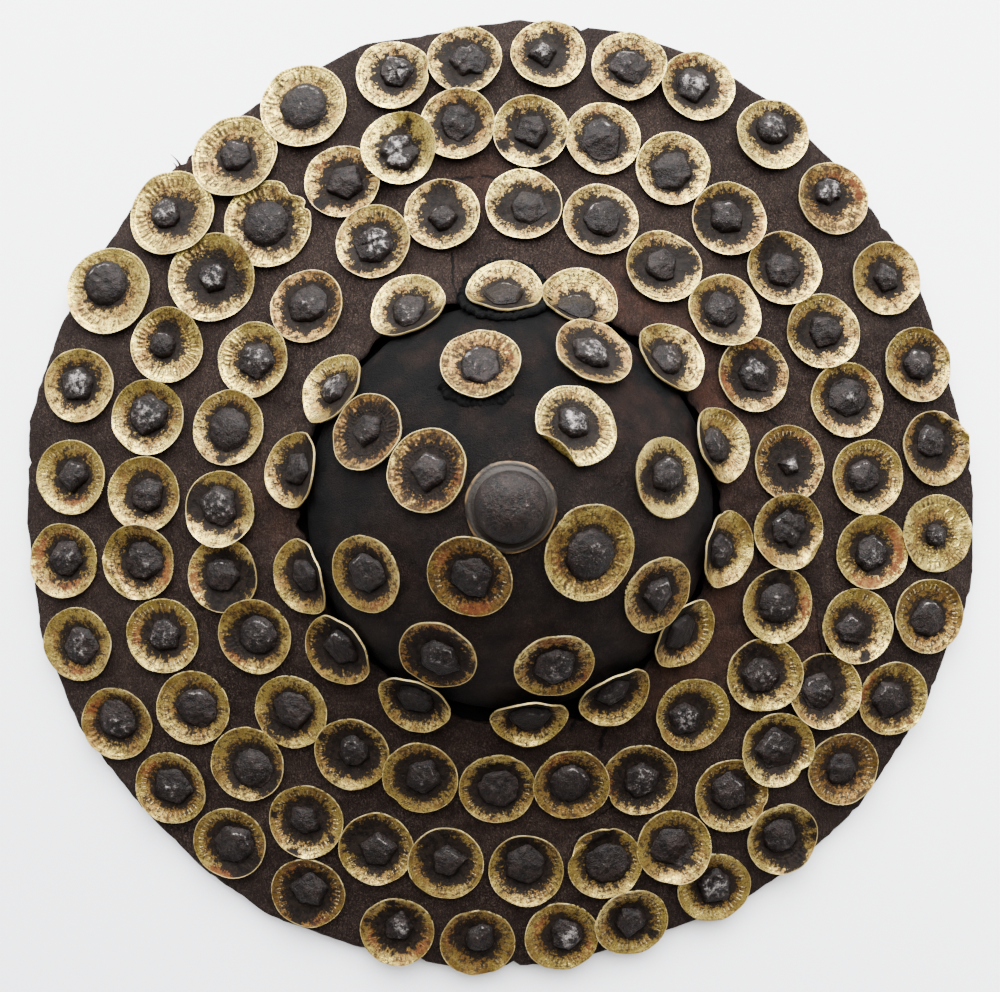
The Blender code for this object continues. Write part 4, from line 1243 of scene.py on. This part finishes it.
class Nodes:
    """Short hands for building the shader nodes of a material or a world."""

    def __init__(self, owner, shader="Principled BSDF"):
        owner.use_nodes = True
        self.owner, self.tree = owner, owner.node_tree
        self.shader = self.tree.nodes[shader]

    def put(self, value, socket):
        if isinstance(value, Field):
            self.tree.links.new(value.socket, socket)
        elif hasattr(value, "__len__") and len(value) == 3 and len(socket.default_value) == 4:
            socket.default_value = (*value, 1.0)
        else:
            socket.default_value = value

    def node(self, kind, values=(), output=0, **settings):
        """One output of a new node. values fill its inputs: in order, or by name."""
        made = self.tree.nodes.new("ShaderNode" + kind)
        for key, value in settings.items():
            setattr(made, key, value)
        for key, value in values.items() if isinstance(values, dict) else enumerate(values):
            self.put(value, made.inputs[key])
        return Field(self, made.outputs[output])

    def math(self, operation, *values, clamp=False):
        """A Math node, or a VectorMath node where the first value is a vector."""
        if isinstance(values[0], Field) and values[0].socket.type == "VECTOR":
            output = "Value" if operation == "DOT_PRODUCT" else "Vector"
            return self.node("VectorMath", values, output, operation=operation)
        return self.node("Math", values, operation=operation, use_clamp=clamp)

    def most(self, first, *others):
        """The largest of several numbers."""
        for other in others:
            first = self.math("MAXIMUM", first, other)
        return first

    def attribute(self, name, output="Fac"):
        return self.node("Attribute", output=output, attribute_name=name)

    def in_mm(self):
        """The place on the piece, in millimetres."""
        return self.node("TexCoord", output="Object") * (1000, 1000, 1000)

    def combine(self, x, y, z):
        return self.node("CombineXYZ", (x, y, z))

    def split(self, vector):
        made = self.node("SeparateXYZ", (vector,)).socket.node
        return [Field(self, part) for part in made.outputs]

    def reach(self, x, y):
        """How far a point of a flat piece lies from its middle."""
        return self.math("SQRT", x * x + y * y)

    def noise(self, vector, scale, detail=3.0, rough=.55, twist=0.0):
        values = {"Vector": vector, "Scale": scale, "Detail": detail, "Roughness": rough, "Distortion": twist}
        return self.node("TexNoise", values, "Fac")

    def cells(self, vector, scale, feature="F1"):
        values = {"Vector": vector, "Scale": scale}
        return self.node("TexVoronoi", values, "Distance", voronoi_dimensions="2D", feature=feature)

    def step(self, value, low, high, to_low=0.0, to_high=1.0):
        """Rises smoothly from to_low to to_high while the value goes from low to high."""
        limits = (value, low, high, to_low, to_high)
        return self.node("MapRange", limits, "Result", interpolation_type="SMOOTHSTEP")

    def mix(self, amount, a, b):
        """Between two colours, or between two numbers."""
        kind, first, output = ("FLOAT", 2, 0) if isinstance(b, float) else ("RGBA", 6, 2)
        return self.node("Mix", {0: amount, first: a, first + 1: b}, output, data_type=kind)

    def layered(self, colour, layers):
        """A colour under others, each laid over it by an amount."""
        for amount, other in layers:
            colour = self.mix(amount, colour, other)
        return colour

    def bump(self, height, distance, strength=1.0, after=None):
        values = {"Strength": strength, "Distance": distance, "Height": height}
        if after is not None:
            values["Normal"] = after
        return self.node("Bump", values, "Normal")

    def shade(self, **values):
        """Gives the tree's own shader its values."""
        for label, value in values.items():
            self.put(value, self.shader.inputs[label.replace("_", " ")])
        return self.owner


# The brass, its stain, and what else lies on it
GOLD_DEEP, GOLD_MIDDLE, GOLD_PALE = (.25, .170, .036), (.43, .325, .067), (.74, .60, .160)
# GOLD_EDGE_HIGHLIGHT is a painted highlight: a thin bright line along each disc's edge
GOLD_EDGE_HIGHLIGHT, GOLD_RAISED = (.66, .52, .22), (.80, .66, .34)
STAIN_BLACK, STAIN_BROWN, STAIN_SPECK = (.0014, .0010, .0009), (.0066, .0042, .0030), (.060, .038, .014)
HALO, PATINA, GRIME, SMUDGE = (.082, .044, .015), (.115, .054, .016), (.042, .025, .010), (.018, .011, .006)
# DIRT_AND_SHADOW darkens the stamped hollows: dirt settled in them, and a painted shadow beside each stroke
DIRT_AND_SHADOW, SPECK, RUST = (.016, .010, .005), (.016, .010, .006), (.060, .016, .005)


def brass_material():
    n = Nodes(bpy.data.materials.new("aged_brass"))
    flat, seed = n.attribute("flat", "Vector"), n.attribute("seed")
    share, tone, patina = n.attribute("share"), n.attribute("tone"), n.attribute("patina")
    x, y, _ = n.split(flat)
    plane = n.combine(x, y, seed)
    reach = n.reach(x, y)
    safe = n.math("MAXIMUM", reach, .5)
    feather = n.noise(n.combine(x / safe, y / safe, reach * .09 + seed), 8.5, 2, .6)
    fine = n.noise(plane, 1.9, 4, .68)
    grime = n.noise(plane, .95, 5, .74)
    broad = n.noise(plane, .17, 3, .6)
    blotch = n.noise(plane, .5, 5, .64)
    # Painted highlight along the disc's edge; the stain is thinned there so that it shows
    rim = n.step(share, .972, .992)

    soiled = n.attribute("stain") + ((feather - .5) * 1.1 + (fine - .5) * 3.6 + (blotch - .5) * 4.6)
    stain = n.step(soiled, -.75, .0) * (1.0 - rim * .7)
    halo = n.step(soiled, -2.6, -.5)
    rust = n.step(n.attribute("rust") + (blotch - .5) * 1.3 + (fine - .5) * 1.1, .32, .80)
    brown = n.step(patina * .95 + (broad - .48) * 3.4 + (fine - .5) * .8, .0, 1.1)
    specks = n.step(n.noise(plane, 1.15, 1, .5), .58, .66) * n.step(blotch, .40, .58)
    grimy = n.step(grime, .51, .60) * n.step(patina, -.15, .35, .0, .85)
    smudge = n.step((blotch - .5) * 2.2 + (grime - .5) * 2.0 + patina * .6, .32, .75)

    # What is stamped: rings, curls and rows of strokes, with dirt in their hollows and a painted shadow
    # beside each stroke
    turn = n.math("ARCTAN2", y, x)
    worn = n.step(blotch, .40, .56)
    grooves = n.math("SINE", reach * 5.6 + broad * 10.0)
    rings = n.step(grooves, .35, .85) * (n.attribute("ringed") * n.step(blotch, .44, .54))
    curls = n.math("SINE", n.cells(n.combine(x + seed, y, 0.0), .42) * 17.0)
    band = n.step(share, .52, .62) * n.step(share, .94, .86)
    curls = n.step(curls, .55, .98) * (n.attribute("curled") * band) * worn
    legend = n.attribute("legend") * worn
    raised, stroke_shadow = (part * legend for part in stroke_row(n, turn, share, seed))
    edge = n.step(share, .90, .91) * n.step(share, .955, .945)
    hatch = n.step(n.math("SINE", turn * 84.0), .2, .9) * edge
    marks = n.most(n.math("MULTIPLY", rings, 1.0, clamp=True), curls, stroke_shadow * .8, hatch * (legend * .8))
    recess_and_shadow = n.most(marks, n.attribute("dirt") * n.step(blotch, .3, .5, .75, 1.0))

    gold = n.mix(n.step(tone, -.6, .9), GOLD_DEEP, GOLD_PALE)
    dark = n.mix(n.step(blotch, .35, .65), STAIN_BLACK, STAIN_BROWN)
    dark = n.mix(n.step(fine, .59, .70) * .5, dark, STAIN_SPECK)
    gold = n.layered(gold, (
        (n.step(fine, .35, .65, .1, .7), GOLD_MIDDLE), (halo * .85, HALO), (brown * .82, PATINA),
        (grimy, GRIME), (smudge * .85, SMUDGE), (raised * .4, GOLD_RAISED), (recess_and_shadow * .9, DIRT_AND_SHADOW),
        (specks * .85, SPECK), (rust * .85, RUST), (stain, dark), (rim * .4, GOLD_EDGE_HIGHLIGHT),
    ))
    dull = n.most(stain, rust, specks, recess_and_shadow * .9, halo * .25, grimy * .5, smudge * .6)
    rough = .16 + (fine * .18 + brown * .14) + dull * .35
    normal = n.bump(blotch, .0004, .6, n.bump(fine + (raised - stroke_shadow) * .9, .00014, .8))
    return n.shade(
        Base_Color=gold, Metallic=1.0 - dull, Roughness=rough, Normal=normal, Specular_IOR_Level=.06,
    )


# The row of strokes that the brass draws: how many, its middle and its half width, as shares of the radius
ROW_CELLS, ROW_AT, ROW_HALF = 40, .79, .07


def stroke_row(n, turn, share, seed):
    """A worn row of short strokes stamped round a disc: what is raised, and a painted shadow along its one
    side.
    """
    place = turn * (ROW_CELLS / math.tau)
    cell = n.math("FLOOR", place)
    vector = n.combine(cell, seed, 0.0)
    lean, tall, wide = n.split(n.node("TexWhiteNoise", {"Vector": vector}, "Color", noise_dimensions="2D"))
    side = place - cell - .5 - (lean - .5) * .3
    width = wide * .06
    raised = n.step(n.math("ABSOLUTE", side) - width, .16, .08)
    # Painted shadow: the same stroke, shifted to one side and darkened
    stroke_shadow = n.step(n.math("ABSOLUTE", side - .22) - width, .17, .09)
    ends = n.step(n.math("ABSOLUTE", (share - ROW_AT) / ROW_HALF) - tall * .45, .75, .6)
    return raised * ends, stroke_shadow * ends


# Each iron's material, and its dark, its light and its rubbed colour, which also paints the highlights
NAIL_IRON = ("forged_iron", (.0034, .0020, .0017), (.0092, .0058, .0049), (.19, .172, .164))
KNOB_IRON = ("knob_iron", (.0044, .0025, .0020), (.0096, .0056, .0044), (.24, .20, .19))
IRON_PIT, IRON_GRAIN = (.0022, .0017, .0016), (.036, .028, .025)


def iron_material(name, dark, light, bright):
    n = Nodes(bpy.data.materials.new(name))
    seed, crest_and_glint = n.attribute("seed"), n.attribute("crest_and_glint")
    place = n.attribute("flat", "Vector") + n.combine(seed, 0.0, seed)
    pits = n.noise(place, .55, 4, .66)
    grain = n.noise(place, 2.3, 3, .66)
    broad = n.noise(place, .3, 1, .5)
    # Rubbed bare metal, and the painted highlights on the nails' rims and the knob
    bare_and_glint = n.step(crest_and_glint * .85 + (pits - .5) * 2.4 + (grain - .5) * .9, .48, 1.2)
    colour = n.mix(n.step(n.attribute("facet") * .5 + broad * .9, .35, 1.0), dark, light)
    colour = n.layered(colour, (
        (n.step(pits, .52, .42), IRON_PIT), (n.step(grain, .56, .68) * .6, IRON_GRAIN), (bare_and_glint, bright),
    ))
    metallic, rough = n.mix(bare_and_glint, .15, .9), n.mix(bare_and_glint, .46, .34) + (grain - .5) * .2
    normal = n.bump(grain, .00032, .7, n.bump(pits, .0009, .7))
    return n.shade(
        Base_Color=colour, Metallic=metallic, Roughness=rough, Normal=normal, Specular_IOR_Level=.11,
    )


BRONZE_DARK, BRONZE_LIGHT, BRONZE_RUBBED = (.0040, .0027, .0019), (.0110, .0072, .0046), (.15, .09, .035)


def bronze_material():
    n = Nodes(bpy.data.materials.new("dark_bronze_patina"))
    flat = n.attribute("flat", "Vector")
    x, y, _ = n.split(flat)
    fine = n.noise(flat, 1.3, 4, .65)
    edge = n.step(n.reach(x, y), 12.1, 12.9) * n.step(n.noise(flat, .14, 3, .55), .44, .6)
    colour = n.mix(edge * .7, n.mix(fine, BRONZE_DARK, BRONZE_LIGHT), BRONZE_RUBBED)
    rough, normal = .36 + fine * .25, n.bump(fine, .0003, .6)
    return n.shade(Base_Color=colour, Metallic=.4, Roughness=rough, Normal=normal, Specular_IOR_Level=.25)


# The leather's grain from dark to pale, its marks, and its cut and hidden sides
LEATHER_DARK, LEATHER_LIGHT = (.0056, .0030, .0023), (.0128, .0074, .0056)
STREAK, PORE = (.0210, .0133, .0105), (.0460, .0320, .0255)
HOLLOW, THREAD = (.0062, .0034, .0028), (.0022, .0014, .0011)
RUBBED_RED, SOOT_AND_SHADE = (.0250, .0095, .0058), (.0013, .0013, .0014)
CRACK, CRAZE = (.0008, .0008, .0008), (.0017, .0012, .0011)
FIBRE_DARK, FIBRE_LIGHT = (.0077, .0044, .0028), (.0330, .0182, .0110)
HIDE_DARK, HIDE_LIGHT = (.0165, .0105, .0066), (.0330, .0220, .0149)


def leather_material():
    n = Nodes(bpy.data.materials.new("old_leather"))
    place = n.in_mm()
    soot, rub, cut, plain = map(n.attribute, ("soot", "rub", "cut", "plain"))
    streaks = n.noise(place * (1.5, .42, .8), 1.0, 4, .66)
    threads = n.noise(place * (3.4, 1.3, 2.2), 1.0, 3, .68)
    pores = n.noise(place, 1.9, 4, .7)
    broad = n.noise(place, .035, 3, .6)
    patches = n.noise(place, .11, 4, .6)
    crack = cracked(n, place, patches) * (1.0 - plain)
    crazing = n.cells(place * (1.0, .55, 1.0), .34, "DISTANCE_TO_EDGE")
    crazed = n.step(crazing, .05, .0) * n.step(patches, .52, .62)
    red = rub * n.step(patches + streaks * .4, .50, .85)
    # Blackened leather, with painted shade in the hollow round the dome's foot
    black = n.math("MULTIPLY", soot * n.step(patches, .75, .35, .55, 1.0), .96, clamp=True)

    hide = n.mix(patches, HIDE_DARK, HIDE_LIGHT)
    colour = n.layered(n.mix(n.step(broad, .35, .65), LEATHER_DARK, LEATHER_LIGHT), (
        (n.step(streaks, .44, .64) * .8, STREAK), (n.step(pores, .52, .64) * .85, PORE),
        (n.step(patches, .56, .42) * .45, HOLLOW), (n.step(threads, .56, .42) * .75, THREAD),
        (red * .75, RUBBED_RED), (black, SOOT_AND_SHADE), (crack * .9, CRACK), (crazed * .6, CRAZE),
        (cut * .55, n.mix(streaks, FIBRE_DARK, FIBRE_LIGHT)), (plain * .8, hide),
    ))
    rough = .52 + pores * .22 - red * .08
    normal = n.bump(threads + soot * pores, .0006, .7, n.bump(streaks * .55 + pores * .45, .0012, .7))
    return n.shade(Base_Color=colour, Roughness=rough, Normal=normal, Specular_IOR_Level=.05)


def cracked(n, place, wander):
    """How near a point of the leather lies to a crack, 0 to 1, with the cracks' lines made to wander."""
    x, y, _ = n.split(place)
    sway = (wander - .5) * 5.0
    here = n.combine(x + sway, y - sway, 0.0)
    nearest = None
    for (ax, ay), (bx, by), width in CRACKS:
        turned = n.node("Mapping", {
            "Vector": here, "Location": ((ax + bx) / 2, (ay + by) / 2, 0),
            "Rotation": (0, 0, math.atan2(by - ay, bx - ax)),
        }, vector_type="TEXTURE")
        past = n.math("ABSOLUTE", turned) - (math.hypot(bx - ax, by - ay) / 2, 0, 0)
        away = n.math("DOT_PRODUCT", n.math("MAXIMUM", past, (0, 0, 0)), (.6 / width, 1 / width, 0))
        nearest = away if nearest is None else n.math("MINIMUM", nearest, away)
    return n.step(nearest, 1.0, .4)


WOOD_DARK, WOOD_LIGHT, WOOD_GRAIN = (.045, .024, .014), (.17, .095, .052), (.02, .012, .008)


def wood_material():
    n = Nodes(bpy.data.materials.new("worn_grip_wood"))
    place = n.in_mm()
    grain = n.noise(place * (.05, .9, .9), 1.0, 5, .6, .3)
    fine = n.noise(place * (.3, 4.0, 4.0), 1.0, 3, .6)
    colour = n.mix(n.step(fine, .6, .4) * .5, n.mix(grain, WOOD_DARK, WOOD_LIGHT), WOOD_GRAIN)
    normal = n.bump(grain * .6 + fine * .4, .0006, .6)
    return n.shade(Base_Color=colour, Roughness=.42 + grain * .2, Normal=normal)


FLOOR_SHADE, FLOOR_LIGHT = (.61, .61, .65), (.985, .99, .995)


def floor_material():
    n = Nodes(bpy.data.materials.new("pale_floor"))
    place = n.node("TexCoord", output="Object")
    x, y, _ = n.split(place)
    upwards = y + x * .35 + n.noise(place, 3, 2, .5) * .06
    # Painted light and shade: the floor is paler towards the top right of the picture and darker towards the
    # bottom left
    colour = n.mix(n.step(upwards, -.26, .24), FLOOR_SHADE, FLOOR_LIGHT)
    return n.shade(Base_Color=colour, Roughness=.75, Normal=n.bump(n.noise(place, 60, 3, .5), .0004, .15))


# ---------------------------------------------------------------- stage

FLOOR_SIDE, FLOOR_DROP = 4.0, 0.0002  # half the floor's side, and how far it lies below the shield
CAMERA_LENS, CAMERA_SENSOR, CAMERA_HEIGHT = 61.96, 36.0, 0.55
# Each light's name, place, size, power and colour
LIGHTS = (
    ("key_light", (0.05, 1.5, 1.35), (2.2, 1.3), 100, (1.0, .985, .96)),
    ("over_light", (0.35, 0.55, 1.9), (.9, .9), 26, (.97, .985, 1.0)),
)
# The room is brightest towards ROOM_TOP, beyond the top of the picture. It brightens and turns cooler
# between two shares of the way there, from the first strength and colour to the second.
ROOM_TOP = (-.03, .87, .49)
ROOM_FADE, ROOM_STRENGTH = (.40, 1.06), (.42, 19.0)
ROOM_TURN, ROOM_COLOURS = ((0, 0, 0), (.75, .75, .75)), ((1.0, .84, .66), (.94, .97, 1.0))
MAP_VECTOR = 6  # where a MapRange node's inputs for vectors start


def stage():
    """A pale floor with painted light and shade across it, soft light from over the top of the picture, and
    the camera straight above.
    """
    link = bpy.context.scene.collection.objects.link
    mesh = bpy.data.meshes.new("floor")
    corners = [(x * FLOOR_SIDE, y * FLOOR_SIDE, 0) for x, y in ((-1, -1), (1, -1), (1, 1), (-1, 1))]
    mesh.from_pydata(corners, [], [(0, 1, 2, 3)])
    mesh.materials.append(floor_material())
    floor = bpy.data.objects.new("floor", mesh)
    floor.location.z = -FLOOR_DROP
    link(floor)

    for name, place, size, power, colour in LIGHTS:
        light = bpy.data.lights.new(name, "AREA")
        light.shape = "RECTANGLE"
        light.size, light.size_y = size
        light.energy, light.color = power, colour
        lamp = bpy.data.objects.new(name, light)
        lamp.location = place
        lamp.rotation_euler = (-Vector(place)).to_track_quat("-Z", "Y").to_euler()
        lamp.visible_camera = False
        link(lamp)
    soft_room()

    lens = bpy.data.cameras.new("camera")
    lens.sensor_width, lens.sensor_fit, lens.lens = CAMERA_SENSOR, "HORIZONTAL", CAMERA_LENS
    camera = bpy.data.objects.new("camera", lens)
    camera.location = (0, 0, CAMERA_HEIGHT)
    link(camera)
    bpy.context.scene.camera = camera


def soft_room():
    """The room's own light: bright above and towards the top of the picture, dim below it."""
    n = Nodes(bpy.data.worlds.new("soft_room"), "Background")
    upwards = n.math("DOT_PRODUCT", n.node("TexCoord", output="Generated"), Vector(ROOM_TOP).normalized())
    tints = dict(enumerate((upwards, *ROOM_TURN, *ROOM_COLOURS), MAP_VECTOR))
    tint = n.node("MapRange", tints, "Vector", data_type="FLOAT_VECTOR", interpolation_type="SMOOTHSTEP")
    strength = n.step(upwards, *ROOM_FADE, *ROOM_STRENGTH)
    bpy.context.scene.world = n.shade(Strength=strength, Color=tint)


# ---------------------------------------------------------------- the buckler

def all_discs():
    """Every disc by its ring and number, with those that lie over others bent up to clear them."""
    discs = {}
    for name, ring in RINGS.items():
        for i, place in enumerate(ring.places()):
            discs[f"{name}{i}"] = Disc(name, i, *place)
    laps = {}
    for upper, lower in LAPS:
        laps.setdefault(upper, []).append(lower)
    told = {frozenset(pair) for pair in LAPS}
    keys = [key for key, disc in discs.items() if disc.ring in ON_FACE]
    for i, a in enumerate(keys):
        for b in keys[:i]:
            gap = float(np.hypot(*(discs[a].point - discs[b].point))) - discs[a].size - discs[b].size
            if gap < .3 and frozenset((a, b)) not in told:
                laps.setdefault(a, []).append(b)
    done = set()

    def settle(key, above=()):
        if key in done or key in above:
            return
        for lower in laps.get(key, ()):
            settle(lower, (*above, key))
        for lower in laps.get(key, ()):
            discs[key].settle(discs[lower])
        done.add(key)

    for key in keys:
        settle(key)
    return discs


# How deep a shank goes before it is bent over: through the face, the dome, the dome's foot, and the grip too
SHANK_FACE, SHANK_DOME, SHANK_FOOT, SHANK_GRIP = FACE_THICK, BOSS_THICK + .4, 13.6, 18.4
THROUGH_GRIP = (0, 7)  # the foot studs whose nails also hold the grip


def dress(discs, brass, iron):
    """A disc and a nail for every stud."""
    for disc in discs.values():
        ring, number = disc.ring, disc.index + 1
        behind = math.atan2(-disc.point[1], -disc.point[0]) + disc.dice.uniform(-.6, .6)
        nodes = [["face_leather"]] * 2
        if ring in ON_FACE:
            label, depth = f"{ring}_{{}}_{number}", SHANK_FACE
        elif ring == "foot":
            nodes = [f"foot_disc_{number}"], [f"foot_nail_{number}"]
            label = f"foot_{{}}_{number}_dressed"
            depth, behind = (SHANK_GRIP, math.pi / 2) if disc.index in THROUGH_GRIP else (SHANK_FOOT, 0.0)
        else:
            nodes = [f"boss_disc_{ring}_{number}"], [f"boss_nail_{ring}_{number}"]
            label, depth = f"boss_{ring}_{{}}_{number}_dressed", SHANK_DOME
        make_disc(disc, brass, label.format("disc"), nodes[0])
        make_nail(disc, iron, label.format("nail"), nodes[1], depth, behind)


def main():
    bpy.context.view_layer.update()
    leather = leather_material()
    leather_face(leather)
    leather_boss(leather)
    discs = all_discs()
    dress(discs, brass_material(), iron_material(*NAIL_IRON))
    centre(bronze_material(), iron_material(*KNOB_IRON))
    hand_grip(wood_material())
    small_things(leather)
    rawhide(discs["foot3"], leather, "foot_rawhide", (13.4, 13.9, 14.2), (0, 360), ["foot_disc_4"])
    rawhide(discs["mid2"], leather, "boss_rawhide", (14.0, 14.0, 14.0), (185, 330), ["boss_disc_mid_3"])
    stage()


main()
